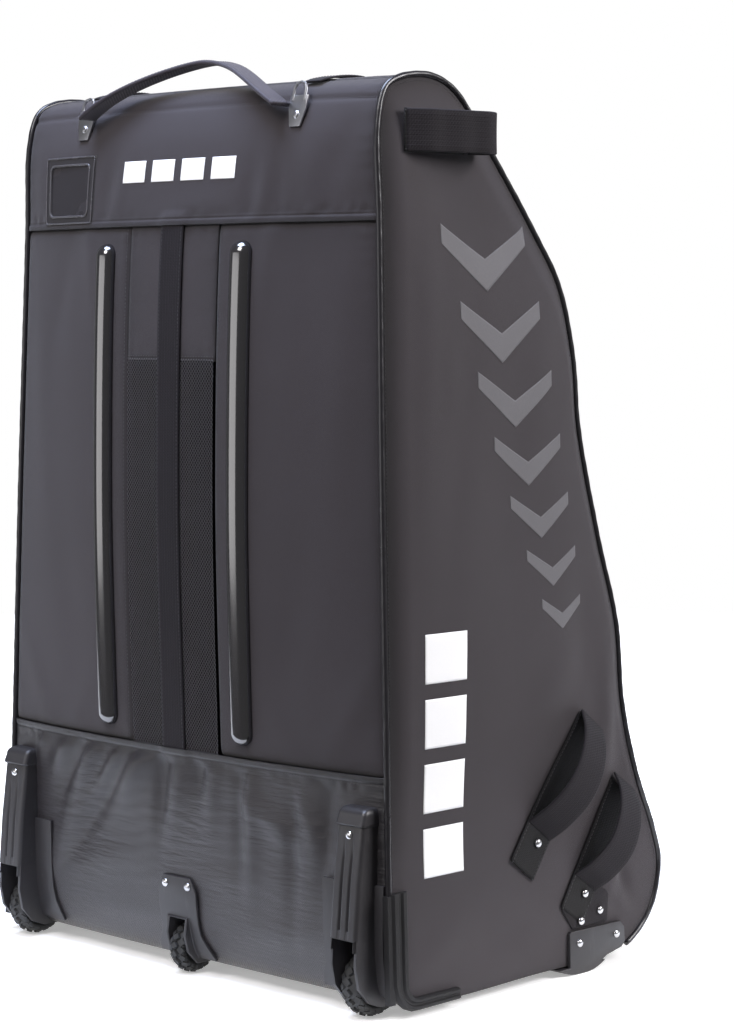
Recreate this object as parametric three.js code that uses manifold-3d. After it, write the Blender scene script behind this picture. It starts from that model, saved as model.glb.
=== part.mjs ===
// A tall wheeled goalie bag that stands on two outer wheels, a middle wheel and two front feet.
// Millimetres, +Z up, floor at z = 0. The wheel panel faces -Y and the sloping front faces +Y.
// Left and right are as seen by someone who faces the wheel panel, so right is +X.
import * as THREE from "three";
import { mergeVertices } from "three/addons/utils/BufferGeometryUtils.js";
import Module from "manifold-3d";

const wasm = await Module();
wasm.setup();
const { Manifold } = wasm;

// Driving dimensions
const HEIGHT = 1016;
const BASE_WIDTH = 653; // between the piping's middle lines at the floor
const TOP_WIDTH = 580; // and at the top
const DEPTH_MIDDLE = 207; // from the wheels' contact line to the middle of the whole depth
const BOOT_TOP = 264;
const YOKE_BOTTOM = 860;
const MESH_TOP = 707;
const VENT_HALF = 74;
const CLOTH = 2.4;
const WEBBING = 2.4;
const PIPING_R = 3.5;
const GAP = 0.3;
const EDGE = PIPING_R + 2 * GAP; // cloth stops this far short of the piping's middle line
const SIDE_SWELL = 13;
const LOOP_LIFT = 1.5; // side loops' base straps above the side cloth
const RAIL_X = 114;
const RAIL_HALF = 14;
const RAIL_RISE = 14.5;
const OUTER_WHEEL = { x: 286, radius: 36, half: 14, sideGap: 2, slotTop: 90 };
const MIDDLE_WHEEL = { x: 0, radius: 30, half: 11, sideGap: 2, slotTop: 66 };
const AXLE_R = 4;
const BORE_R = 4.4;
const TYRE_GAP = 3;
const SPOKES = 16;

// Outline of the side panels, up the wheel panel, over the top and down the front.
// y is from the wheels' contact line; swell is how far the cloth bows out at mid width.
const OUTLINE = [
  { at: "base_rear", y: 60, z: 10, swell: 0 },
  { at: "corner", y: 5, z: 20, swell: 3 },
  { at: "boot_low", y: -7, z: 60, swell: 8 },
  { at: "boot_mid", y: -8, z: 150, swell: 14 },
  { at: "boot_seam", y: -6, z: 264, swell: 20 },
  { at: "rear_mid", y: -2, z: 560, swell: 32 },
  { at: "yoke_seam", y: 4, z: 860, swell: 28 },
  { at: "yoke_high", y: 5, z: 962, swell: 13 },
  { at: "top_roll", y: 18, z: 1001, swell: 5 },
  { at: "top_seam", y: 42, z: 1014, swell: 3 },
  { at: "top_front", y: 92, z: 1018, swell: 3 },
  { at: "brow", y: 129, z: 1003, swell: 7 },
  { at: "slope_high", y: 184, z: 940, swell: 14 },
  { at: "slope_low", y: 254, z: 853, swell: 18 },
  { at: "shoulder", y: 296, z: 792, swell: 20 },
  { at: "knee", y: 318, z: 712, swell: 20 },
  { at: "waist", y: 325, z: 630, swell: 20 },
  { at: "belly", y: 356, z: 502, swell: 22 },
  { at: "hip", y: 386, z: 400, swell: 20 },
  { at: "shin", y: 394, z: 306, swell: 16 },
  { at: "instep", y: 417, z: 221, swell: 10 },
  { at: "toe_high", y: 447, z: 150, swell: 5 },
  { at: "toe", y: 457, z: 108, swell: 3 },
  { at: "toe_low", y: 441, z: 58, swell: 3 },
  { at: "toe_under", y: 405, z: 26, swell: 1 },
  { at: "base_front", y: 362, z: 13, swell: 0 },
  { at: "base_mid", y: 220, z: 10, swell: 0 },
];

// Folds in the boot under its seam: middle, lean in degrees from upright, half length, half width, depth
const BOOT_FOLDS = [
  { x: -190, z: 232, lean: 30, reach: 34, half: 12, depth: 3 },
  { x: -140, z: 222, lean: 32, reach: 46, half: 12, depth: 4 },
  { x: -92, z: 214, lean: 34, reach: 54, half: 12, depth: 4.5 },
  { x: -46, z: 210, lean: 36, reach: 56, half: 12, depth: 4 },
  { x: 4, z: 214, lean: 38, reach: 48, half: 12, depth: 3 },
  { x: 150, z: 196, lean: -62, reach: 60, half: 14, depth: 3 },
];

// Soft hollows in the side cloth: middle, half sizes and depth
const SIDE_HOLLOWS = [
  { y: 195, z: 560, halfY: 80, halfZ: 150, depth: 6 },
  { y: 140, z: 860, halfY: 60, halfZ: 60, depth: 4 },
  { y: 320, z: 400, halfY: 34, halfZ: 70, depth: 5 },
];

// Materials
function paint(color, roughness, metalness = 0) {
  return new THREE.MeshStandardMaterial({ color, roughness, metalness });
}
const shellCloth = paint(0x47444a, 0.85);
const bootCloth = paint(0x232226, 0.5);
const meshCloth = paint(0x161618, 0.8);
const strapCloth = paint(0x1b1b1d, 0.8);
const pipingVinyl = paint(0x121214, 0.35);
const hardPlastic = paint(0x1a1a1c, 0.55);
const tyreRubber = paint(0x141415, 0.8);
const steel = paint(0xb9bbbd, 0.25, 1);
const clearVinyl = paint(0x77777c, 0.15);

// Solids
const point = (x, y, z) => new THREE.Vector3(x, y, z);
const lerp = THREE.MathUtils.lerp;
const smooth = THREE.MathUtils.smoothstep;

function solid(points, triangles) {
  const vertProperties = new Float32Array(points.flatMap((p) => [p.x, p.y, p.z]));
  const build = (order) => new Manifold(new wasm.Mesh({
    numProp: 3,
    vertProperties,
    triVerts: new Uint32Array(triangles.flatMap(([a, b, c]) => (order > 0 ? [a, b, c] : [a, c, b]))),
  }));
  const made = build(1);
  return made.volume() > 0 ? made : build(-1);
}

function solidOf(geometry) {
  geometry.deleteAttribute("normal");
  geometry.deleteAttribute("uv");
  const merged = mergeVertices(geometry, 1e-4);
  const place = merged.attributes.position;
  const points = [];
  for (let i = 0; i < place.count; i++) points.push(point().fromBufferAttribute(place, i));
  const index = merged.index.array;
  const triangles = [];
  for (let i = 0; i < index.length; i += 3) {
    const corner = [index[i], index[i + 1], index[i + 2]];
    if (new Set(corner).size === 3) triangles.push(corner);
  }
  return solid(points, triangles);
}

function geometryOf(made) {
  const mesh = made.getMesh();
  const geometry = new THREE.BufferGeometry();
  geometry.setAttribute("position", new THREE.BufferAttribute(new Float32Array(mesh.vertProperties), 3));
  geometry.setIndex(new THREE.BufferAttribute(new Uint32Array(mesh.triVerts), 1));
  geometry.computeVertexNormals();
  return geometry;
}

// A solid through rings of equal length; the flat contour gives the triangles of both ends.
function loft(rings, contour) {
  const count = contour.length;
  const ends = THREE.ShapeUtils.triangulateShape(contour, []);
  const turn = THREE.ShapeUtils.isClockWise(contour) ? -1 : 1;
  const last = (rings.length - 1) * count;
  const triangles = [];
  for (let r = 0; r < rings.length - 1; r++) {
    for (let k = 0; k < count; k++) {
      const a = r * count + k;
      const b = r * count + ((k + 1) % count);
      const quad = [[a, b, b + count], [a, b + count, a + count]];
      triangles.push(...quad.map(([p, q, s]) => (turn > 0 ? [p, q, s] : [p, s, q])));
    }
  }
  for (const [a, b, c] of ends) {
    triangles.push([a, c, b], [last + a, last + b, last + c]);
  }
  return solid(rings.flat(), triangles);
}

// A solid between two grids of points, such as the outside and inside of a cloth wall
function slab(outer, inner, rows, cols) {
  const at = (r, c) => r * (cols + 1) + c;
  const far = outer.length;
  const triangles = [];
  for (let r = 0; r < rows; r++) {
    for (let c = 0; c < cols; c++) {
      const [a, b, d, e] = [at(r, c), at(r, c + 1), at(r + 1, c + 1), at(r + 1, c)];
      triangles.push([a, b, d], [a, d, e]);
      triangles.push([far + a, far + d, far + b], [far + a, far + e, far + d]);
    }
  }
  const rim = [];
  for (let c = 0; c < cols; c++) rim.push(at(0, c));
  for (let r = 0; r < rows; r++) rim.push(at(r, cols));
  for (let c = cols; c > 0; c--) rim.push(at(rows, c));
  for (let r = rows; r > 0; r--) rim.push(at(r, 0));
  rim.forEach((p, k) => {
    const q = rim[(k + 1) % rim.length];
    triangles.push([q, p, far + p], [q, far + p, far + q]);
  });
  return solid([...outer, ...inner], triangles);
}

function box([x0, y0, z0], [x1, y1, z1]) {
  const geometry = new THREE.BoxGeometry(x1 - x0, y1 - y0, z1 - z0);
  geometry.translate((x0 + x1) / 2, (y0 + y1) / 2, (z0 + z1) / 2);
  return solidOf(geometry);
}

// A flat outline given in (y, z), as thick as x0 to x1
function plateYZ(corners, x0, x1) {
  const shape = new THREE.Shape(corners.map(([y, z]) => new THREE.Vector2(y, z)));
  const geometry = new THREE.ExtrudeGeometry(shape, { depth: x1 - x0, bevelEnabled: false, steps: 1 });
  geometry.applyMatrix4(new THREE.Matrix4().makeBasis(point(0, 1, 0), point(0, 0, 1), point(1, 0, 0)));
  geometry.translate(x0, 0, 0);
  return solidOf(geometry);
}

function rodX(radius, x0, x1, y, z, sides = 20) {
  const geometry = new THREE.CylinderGeometry(radius, radius, x1 - x0, sides);
  geometry.rotateZ(Math.PI / 2);
  geometry.translate((x0 + x1) / 2, y, z);
  return solidOf(geometry);
}

// The shell's surface: one closed curve carries the outline and, in its x, the swell
const shellCurve = new THREE.CatmullRomCurve3(
  OUTLINE.map((row) => point(row.swell, row.y, row.z)), true, "centripetal");
const COUNT = OUTLINE.length;
const mark = (name) => OUTLINE.findIndex((row) => row.at === name);

function shellAt(index) {
  const t = (((index % COUNT) + COUNT) % COUNT) / COUNT;
  const here = shellCurve.getPoint(t);
  const along = shellCurve.getTangent(t);
  const length = Math.hypot(along.y, along.z);
  const up = point(0, along.y / length, along.z / length);
  return { y: here.y, z: here.z, swell: here.x, up, out: point(0, -up.z, up.y) };
}

function halfWidth(z) {
  const rise = THREE.MathUtils.clamp(z / HEIGHT, 0, 1);
  return lerp(BASE_WIDTH, TOP_WIDTH, rise) / 2;
}

function shellPoint(index, x, lift = 0) {
  const here = shellAt(index);
  const bow = here.swell * (1 - Math.min(1, Math.abs(x) / halfWidth(here.z)) ** 2.5) + lift;
  return point(x, here.y + here.out.y * bow, here.z + here.out.z * bow);
}

function shellNormal(index, x) {
  const across = shellPoint(index, x + 1).sub(shellPoint(index, x - 1));
  return across.cross(shellAt(index).up).normalize();
}

// Place along the outline, a distance in millimetres from another place
function onward(index, distance) {
  const step = Math.sign(distance) * 0.004;
  let left = Math.abs(distance);
  let here = shellAt(index);
  while (left > 0) {
    const next = shellAt(index + step);
    left -= Math.hypot(next.y - here.y, next.z - here.z);
    index += step;
    here = next;
  }
  return index;
}

// Place on the wheel panel's stretch of the outline at a height
function rearAt(z) {
  let [low, high] = [mark("corner"), mark("top_roll")];
  for (let k = 0; k < 40; k++) {
    const middle = (low + high) / 2;
    if (shellAt(middle).z < z) low = middle;
    else high = middle;
  }
  return low;
}

// A wall over a stretch of the shell, its outside `lift` above the shell's surface
function wall({ from, to, left, right, rows, cols, lift = 0, thick = CLOTH, relief = () => 0 }) {
  const outer = [];
  const inner = [];
  for (let r = 0; r <= rows; r++) {
    const index = lerp(from, to, r / rows);
    const { z } = shellAt(index);
    for (let c = 0; c <= cols; c++) {
      const x = lerp(left(z), right(z), c / cols);
      const raise = lift + relief(x, z);
      outer.push(shellPoint(index, x, raise));
      inner.push(shellPoint(index, x, raise - thick));
    }
  }
  return slab(outer, inner, rows, cols);
}

function spread(at, side, aside, out, lift) {
  return at.clone().addScaledVector(side, aside).addScaledVector(out, lift);
}

// A strap of constant width along points that each have an outward direction
function strap(path, width, thick, across) {
  const contour = [[-1, 0], [1, 0], [1, 1], [-1, 1]].map(([a, b]) => new THREE.Vector2(a, b));
  const rings = path.map(({ at, out }, k) => {
    const before = path[Math.max(0, k - 1)].at;
    const after = path[Math.min(path.length - 1, k + 1)].at;
    const side = across ?? out.clone().cross(after.clone().sub(before)).normalize();
    return contour.map(({ x, y }) => spread(at, side, (x * width) / 2, out, y * thick));
  });
  return loft(rings, contour);
}

function tube(path, radius, sides) {
  const contour = Array.from({ length: sides }, (_, k) => {
    const turn = (k / sides) * 2 * Math.PI;
    return new THREE.Vector2(Math.cos(turn), Math.sin(turn));
  });
  const rings = path.map(({ at, out }, k) => {
    const before = path[Math.max(0, k - 1)].at;
    const after = path[Math.min(path.length - 1, k + 1)].at;
    const ahead = after.clone().sub(before).normalize();
    const side = out.clone().cross(ahead).normalize();
    const clear = ahead.clone().cross(side);
    return contour.map(({ x, y }) => spread(at, side, x * radius, clear, y * radius));
  });
  return loft(rings, contour);
}

const both = (made) => [made, made.mirror([1, 0, 0])];
const edgeLeft = (z) => -(halfWidth(z) - EDGE);
const edgeRight = (z) => halfWidth(z) - EDGE;

// Wheel panel: boot, fields, vent strip and yoke
function bootFold(x, z) {
  let rise = 0;
  for (const fold of BOOT_FOLDS) {
    const lean = THREE.MathUtils.degToRad(fold.lean);
    const along = (x - fold.x) * Math.sin(lean) + (z - fold.z) * Math.cos(lean);
    const across = (x - fold.x) * Math.cos(lean) - (z - fold.z) * Math.sin(lean);
    rise += fold.depth * Math.exp(-((along / fold.reach) ** 2) - (across / fold.half) ** 2);
  }
  return rise * smooth(BOOT_TOP - z, 0, 14);
}

const bootEnd = onward(rearAt(BOOT_TOP), -GAP / 2);
const bootStart = onward(mark("base_rear"), GAP / 2);
const bootSpan = { from: bootStart, to: bootEnd, rows: 8, cols: 24, relief: bootFold };

function wheelCuts() {
  const outer = box([OUTER_WHEEL.x - 20.4, -90, -20], [BASE_WIDTH / 2, 51, 96]);
  const middle = box([-17.4, -90, -20], [17.4, 42, 70]);
  return Manifold.union([...both(outer), middle]);
}

const rearBoot = wall({ ...bootSpan, left: edgeLeft, right: edgeRight }).subtract(wheelCuts());
const spineSeat = wall({
  from: rearAt(94), to: rearAt(246), left: () => 250, right: () => 309,
  rows: 3, cols: 4, lift: 0.6, thick: 24,
});

const fieldFrom = onward(rearAt(BOOT_TOP), GAP / 2);
const fieldTo = onward(rearAt(YOKE_BOTTOM), -GAP / 2);
const rearField = wall({
  from: fieldFrom, to: fieldTo, left: () => VENT_HALF + GAP / 2, right: edgeRight, rows: 6, cols: 6,
});

const ventLeft = () => -(VENT_HALF - GAP / 2);
const ventRight = () => VENT_HALF - GAP / 2;
const ventMesh = wall({
  from: fieldFrom, to: onward(rearAt(MESH_TOP), -GAP / 2), left: ventLeft, right: ventRight,
  rows: 6, cols: 6, thick: 1.2,
});
const ventFlap = wall({
  from: onward(rearAt(MESH_TOP), GAP / 2), to: fieldTo, left: ventLeft, right: ventRight, rows: 3, cols: 6,
});
const ventWebbing = wall({
  from: fieldFrom, to: fieldTo, left: () => -19, right: () => 19,
  rows: 9, cols: 2, lift: GAP + WEBBING, thick: WEBBING,
});

const yokeEnd = onward(mark("top_seam"), -GAP / 2);
const rearYoke = wall({
  from: onward(rearAt(YOKE_BOTTOM), GAP / 2), to: yokeEnd, left: edgeLeft, right: edgeRight,
  rows: 8, cols: 10, thick: 5,
});

// Top, front and base
const topPanel = wall({
  from: onward(mark("top_seam"), GAP / 2), to: onward(mark("top_front"), -GAP / 2),
  left: edgeLeft, right: edgeRight, rows: 2, cols: 8,
});
const frontPanel = wall({
  from: onward(mark("top_front"), GAP / 2), to: onward(mark("toe_under"), -GAP / 2),
  left: edgeLeft, right: edgeRight, rows: 22, cols: 6,
});
const basePanel = wall({
  from: onward(mark("toe_under"), GAP / 2), to: onward(COUNT, -GAP / 2),
  left: edgeLeft, right: edgeRight, rows: 6, cols: 4,
});

// Side panels: rings of the outline drawn in towards one middle point
const SIDE_MIDDLE = { y: 185, z: 430 };
const SIDE_RINGS = [1, 0.93, 0.76, 0.44];
const RING_STEPS = 2 * COUNT;
const sideEdge = Array.from({ length: RING_STEPS }, (_, k) => {
  const here = shellAt((k / RING_STEPS) * COUNT);
  return { y: here.y - here.out.y * EDGE, z: here.z - here.out.z * EDGE };
});

function sideBow(y, z, reach) {
  let bow = SIDE_SWELL * (1 - reach ** 3) * smooth(z, 180, 480);
  for (const dip of SIDE_HOLLOWS) {
    const away = ((y - dip.y) / dip.halfY) ** 2 + ((z - dip.z) / dip.halfZ) ** 2;
    bow -= dip.depth * Math.exp(-away) * (1 - reach ** 6);
  }
  return bow;
}

// How far out a place on the side lies, 0 at the middle point and 1 at the edge
function sideReach(y, z) {
  const [dy, dz] = [y - SIDE_MIDDLE.y, z - SIDE_MIDDLE.z];
  for (let k = 0; k < RING_STEPS; k++) {
    const a = sideEdge[k];
    const b = sideEdge[(k + 1) % RING_STEPS];
    const [ay, az, by, bz] = [a.y - SIDE_MIDDLE.y, a.z - SIDE_MIDDLE.z, b.y - a.y, b.z - a.z];
    const cross = dy * bz - dz * by;
    const reach = (ay * bz - az * by) / cross;
    const part = (ay * dz - az * dy) / cross;
    if (reach > 0 && part >= 0 && part <= 1) return Math.min(1, 1 / reach);
  }
  return 0;
}

const sideX = (y, z) => halfWidth(z) + sideBow(y, z, sideReach(y, z));

function sidePanel() {
  const points = [];
  for (const depth of [0, CLOTH]) {
    for (const reach of SIDE_RINGS) {
      for (const edge of sideEdge) {
        const y = lerp(SIDE_MIDDLE.y, edge.y, reach);
        const z = lerp(SIDE_MIDDLE.z, edge.z, reach);
        points.push(point(halfWidth(z) + sideBow(y, z, reach) - depth, y, z));
      }
    }
    const { y, z } = SIDE_MIDDLE;
    points.push(point(halfWidth(z) + sideBow(y, z, 0) - depth, y, z));
  }
  const layer = points.length / 2;
  const triangles = [];
  for (let k = 0; k < RING_STEPS; k++) {
    const next = (k + 1) % RING_STEPS;
    for (let r = 0; r < SIDE_RINGS.length - 1; r++) {
      const [a, b] = [r * RING_STEPS + k, r * RING_STEPS + next];
      const [c, d] = [a + RING_STEPS, b + RING_STEPS];
      triangles.push([a, b, d], [a, d, c]);
      triangles.push([layer + a, layer + d, layer + b], [layer + a, layer + c, layer + d]);
    }
    const inner = (SIDE_RINGS.length - 1) * RING_STEPS;
    triangles.push([inner + k, inner + next, layer - 1]);
    triangles.push([layer + inner + next, layer + inner + k, 2 * layer - 1]);
    triangles.push([next, k, layer + k], [next, layer + k, layer + next]);
  }
  return solid(points, triangles);
}

// Piping from the corner guard's top over the bag to the front foot
function sidePiping() {
  const [start, end] = [rearAt(145), onward(mark("toe_under"), 14)];
  const stops = [start];
  for (let index = Math.ceil(start * 2) / 2; index < end - 0.2; index += 0.5) stops.push(index);
  const path = [...stops, end].map((index) => {
    const here = shellAt(index);
    return { at: point(halfWidth(here.z), here.y, here.z), out: here.out };
  });
  return tube(path, PIPING_R, 5);
}

// Rails on the wheel panel: half-round bars that taper at both ends
function rearRail() {
  const [low, high] = [279, 841];
  const END_ROWS = [
    { inset: 0, scale: 0.35 }, { inset: 2.5, scale: 0.7 }, { inset: 7, scale: 0.93 }, { inset: 13, scale: 1 },
  ];
  const rows = [...END_ROWS.map((row) => ({ z: low + row.inset, scale: row.scale }))];
  for (let k = 1; k < 5; k++) rows.push({ z: lerp(low, high, k / 5), scale: 1 });
  rows.push(...END_ROWS.toReversed().map((row) => ({ z: high - row.inset, scale: row.scale })));
  const contour = Array.from({ length: 8 }, (_, k) => {
    const turn = (k / 7) * Math.PI;
    return new THREE.Vector2(RAIL_HALF * Math.cos(turn), RAIL_RISE * Math.sin(turn));
  });
  const rings = rows.map(({ z, scale }) => {
    const index = rearAt(z);
    return contour.map((c) => shellPoint(index, RAIL_X + c.x * scale, GAP + 0.2 + c.y * scale));
  });
  return loft(rings, contour);
}

// Wheel housings: flange on the boot, a hollow block around the wheel and a capped spine above it
const SPINE_ROWS = [
  { z: 78, base: 19.9, face: 16.5, y: -44 },
  { z: 150, base: 19.9, face: 16, y: -38 },
  { z: 212, base: 19.5, face: 15.5, y: -30 },
  { z: 214, base: 20.5, face: 17.5, y: -33 },
  { z: 225, base: 20, face: 17, y: -28.5 },
  { z: 231.5, base: 17, face: 14, y: -21 },
];
const SPINE_EDGE = 6; // how far the spine's slanted edges reach back from its face
const HOUSING_RIVET_Z = 203;
const OUTER_BLOCK = [[50, 13], [50, 84], [42, 92], [-40, 92], [-42, 62], [-37, 38], [-22, 20], [-4, 13]];
const MIDDLE_BLOCK = [[41, 13], [41, 60], [34, 68], [-24, 68], [-27, 48], [-22, 28], [-8, 13]];

function wheelRoom(wheel) {
  const reach = wheel.half + wheel.sideGap;
  const round = rodX(wheel.radius + TYRE_GAP, wheel.x - reach, wheel.x + reach, 0, wheel.radius, 28);
  const slot = box([wheel.x - reach, -90, -20], [wheel.x + reach, 0, wheel.slotTop]);
  return round.add(slot);
}

function spineFace(z) {
  const above = SPINE_ROWS.findIndex((row) => row.z > z);
  const [low, high] = [SPINE_ROWS[above - 1], SPINE_ROWS[above]];
  return lerp(low.y, high.y, (z - low.z) / (high.z - low.z));
}

function outerHousing() {
  const corners = [[-1, 1], [1, 1], [1, 0.2], [0.8, 0], [-0.8, 0], [-1, 0.2]];
  const contour = corners.map(([a, b]) => new THREE.Vector2(a, b));
  const spine = loft(SPINE_ROWS.map(({ z, base, face, y }) => [
    [-base, 8], [base, 8], [base, y + SPINE_EDGE], [face, y], [-face, y], [-base, y + SPINE_EDGE],
  ].map(([aside, depth]) => point(OUTER_WHEEL.x + aside, depth, z))), contour);
  const groove = (x) => box([x - 2, -60, 100], [x + 2, -31, 186]);
  const grooves = groove(OUTER_WHEEL.x - 6).add(groove(OUTER_WHEEL.x + 6));
  const flange = wall({
    from: rearAt(28), to: rearAt(148), left: (z) => 233 - 10 * smooth(60 - z, 0, 35), right: () => 318,
    rows: 6, cols: 3, lift: 4.2, thick: 3.4, relief: bootFold,
  });
  const block = plateYZ(OUTER_BLOCK, OUTER_WHEEL.x - 20, OUTER_WHEEL.x + 20);
  return spine.subtract(grooves).subtract(spineSeat).add(flange).add(block).subtract(wheelRoom(OUTER_WHEEL));
}

function middleHousing() {
  const TOP = 115;
  const ROUND = 9;
  const half = (z) => {
    const over = Math.max(0, z - (TOP - ROUND));
    return 32 - (ROUND - Math.sqrt(Math.max(0, ROUND ** 2 - over ** 2))) + 15 * smooth(56 - z, 0, 34);
  };
  const flange = wall({
    from: rearAt(24), to: rearAt(TOP), left: (z) => -half(z), right: half,
    rows: 9, cols: 4, lift: 5, thick: 4.4, relief: bootFold,
  });
  const block = plateYZ(MIDDLE_BLOCK, -17, 17);
  return flange.add(block).subtract(wheelRoom(MIDDLE_WHEEL));
}

// Wheels turn on plain pins held between the housings' cheeks
function wheel({ radius, half }) {
  const profile = [
    [BORE_R, -half + 2], [BORE_R, half - 2], [radius - 12, half - 4], [radius - 10, half - 1],
    [radius - 3, half], [radius, half - 6], [radius, 6 - half], [radius - 3, -half],
    [radius - 10, 1 - half], [radius - 12, 4 - half], [BORE_R, -half + 2],
  ];
  const geometry = new THREE.LatheGeometry(profile.map(([r, h]) => new THREE.Vector2(r, h)), SPOKES);
  const place = geometry.attributes.position;
  for (let i = 0; i < place.count; i++) {
    const [x, y, z] = [place.getX(i), place.getY(i), place.getZ(i)];
    const spoke = Math.round((Math.atan2(z, x) / (2 * Math.PI)) * SPOKES);
    const shoulder = Math.abs(Math.abs(y) - half) < 0.01;
    if (shoulder && spoke % 2 !== 0) place.setXYZ(i, x * 0.94, y * 0.9, z * 0.94);
  }
  return solidOf(geometry).rotate([0, 0, 90]);
}

// The sides lean in as they rise, and so do the flat pieces on them
const leanIn = (made) => made.warp((v) => {
  v[0] -= (v[2] * (BASE_WIDTH - TOP_WIDTH)) / 2 / HEIGHT;
});

// Ribbed guard round the lower rear corner of a side
function cornerGuard() {
  const [legY, footZ, bend] = [4, 15, 26];
  const ROWS = [{ y: legY, z: 140, turn: 0, half: 13 }, { y: legY, z: 90, turn: 0, half: 13 }];
  for (let k = 0; k <= 5; k++) {
    const turn = (k / 5) * (Math.PI / 2);
    const y = legY + bend - bend * Math.cos(turn);
    const z = footZ + bend - bend * Math.sin(turn);
    ROWS.push({ y, z, turn, half: lerp(13, 7, k / 5) });
  }
  ROWS.push({ y: 96, z: footZ, turn: Math.PI / 2, half: 6.5 });
  const contour = [
    [-1, 0], [1, 0], [1, 3.4], [0.72, 6.4], [0.34, 6.4],
    [0.14, 4.2], [-0.14, 4.2], [-0.34, 6.4], [-0.72, 6.4], [-1, 3.4],
  ].map(([a, b]) => new THREE.Vector2(a, b));
  const face = BASE_WIDTH / 2 + GAP;
  const band = loft(ROWS.map(({ y, z, turn, half }) => contour.map((c) =>
    point(face + c.y, y + c.x * half * Math.cos(turn), z + c.x * half * Math.sin(turn)))), contour);
  const wrap = box([323, -14, 20], [face + 4, -5.4, 138]);
  return leanIn(band.add(wrap));
}

// Front foot: a side plate over a runner whose ends curve up from a short flat sole
function frontFoot() {
  const face = BASE_WIDTH / 2 + GAP;
  const [middle, sole, radius, top] = [307, 6, 72, 9.2];
  const span = Math.sqrt(radius ** 2 - (radius - top) ** 2);
  const arc = Array.from({ length: 6 }, (_, k) => {
    const y = (span * k) / 5;
    return [sole + y, radius - Math.sqrt(radius ** 2 - y ** 2)];
  });
  const behind = arc.toReversed().map(([y, z]) => [middle - y, z]);
  const runner = [...behind, ...arc.map(([y, z]) => [middle + y, z])];
  const plate = [
    [285, 5], [329, 4], [352, 14], [379, 19], [385, 26], [384, 42], [377, 50], [288, 51], [285, 48],
  ];
  return leanIn(plateYZ(runner, 290, face + 5).add(plateYZ(plate, face, face + 5)));
}

// Webbing loop on a side: a flat base strap and a bowed strap joined at both ends
function sideLoop({ from, to, width, bow }) {
  const run = Math.hypot(to.y - from.y, to.z - from.z);
  const [ty, tz] = [(to.y - from.y) / run, (to.z - from.z) / run];
  const across = point(0, tz, -ty);
  const highest = (y, z) => Math.max(...[-width / 2, 0, width / 2].map((aside) =>
    sideX(y + across.y * aside, z + across.z * aside)));
  const at = (along, rise) => {
    const [y, z] = [from.y + ty * along, from.z + tz * along];
    const [onY, onZ] = [from.y + ty * Math.min(along, run), from.z + tz * Math.min(along, run)];
    return point(highest(onY, onZ) + LOOP_LIFT + rise, y, z);
  };
  const base = Array.from({ length: 6 }, (_, k) => ({ at: at((run * k) / 5, 0), out: point(1, 0, 0) }));
  const stops = bow.map(({ along, rise }) => at(along, rise));
  const line = new THREE.CatmullRomCurve3(stops, false, "centripetal");
  const steps = 12;
  const loop = Array.from({ length: steps + 1 }, (_, k) => {
    const ahead = line.getTangent(k / steps);
    return { at: line.getPoint(k / steps), out: across.clone().cross(ahead).normalize() };
  });
  return strap(base, width, WEBBING, across).add(strap(loop, width, WEBBING + 0.4, across));
}

const UPPER_LOOP = {
  from: { y: 36, z: 957 }, to: { y: 140, z: 957 }, width: 47,
  bow: [
    { along: 3, rise: 0.6 }, { along: 28, rise: 14 }, { along: 66, rise: 24 }, { along: 104, rise: 29 },
    { along: 121, rise: 22 }, { along: 118, rise: 9 }, { along: 103, rise: 0.6 },
  ],
};
const LOWER_LOOP_REAR = {
  from: { y: 207, z: 134 }, to: { y: 331, z: 299 }, width: 48,
  bow: [
    { along: 52, rise: 0.6 }, { along: 74, rise: 19 }, { along: 108, rise: 33 }, { along: 144, rise: 31 },
    { along: 176, rise: 18 }, { along: 198, rise: 0.6 },
  ],
};
const LOWER_LOOP_FRONT = {
  from: { y: 292, z: 69 }, to: { y: 392, z: 214 }, width: 46,
  bow: [
    { along: 44, rise: 0.6 }, { along: 62, rise: 18 }, { along: 94, rise: 32 }, { along: 128, rise: 30 },
    { along: 156, rise: 17 }, { along: 174, rise: 0.6 },
  ],
};

// Reinforcing patch under the front lower loop
function loopPatch() {
  const face = BASE_WIDTH / 2 + GAP + 0.2;
  return leanIn(plateYZ([[275, 79], [301, 119], [360, 87], [356, 53], [293, 53]], face, face + 2.2));
}

// Carry handle: a flat strap that arches from anchor to anchor and leans over the top
const HANDLE_RISE = 57;
const ANCHOR = { x: 178, z: 978, halfTop: 13, halfFoot: 8 };
function carryHandle() {
  const reach = ANCHOR.x - ANCHOR.halfTop - GAP - 3;
  const steps = 18;
  const path = Array.from({ length: steps + 1 }, (_, k) => {
    const part = (k / steps) * 2 - 1;
    const slope = -Math.sign(part) * 1.7 * Math.abs(part) ** 0.7 * HANDLE_RISE;
    const rise = HANDLE_RISE * (1 - Math.abs(part) ** 1.7);
    return {
      at: point(reach * part, -13 + 44 * Math.cos((part * Math.PI) / 2) ** 2, 986 + rise),
      out: point(-slope, 0, reach).normalize(),
    };
  });
  return strap(path, 28, 5, point(0, 1, 0));
}

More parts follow.
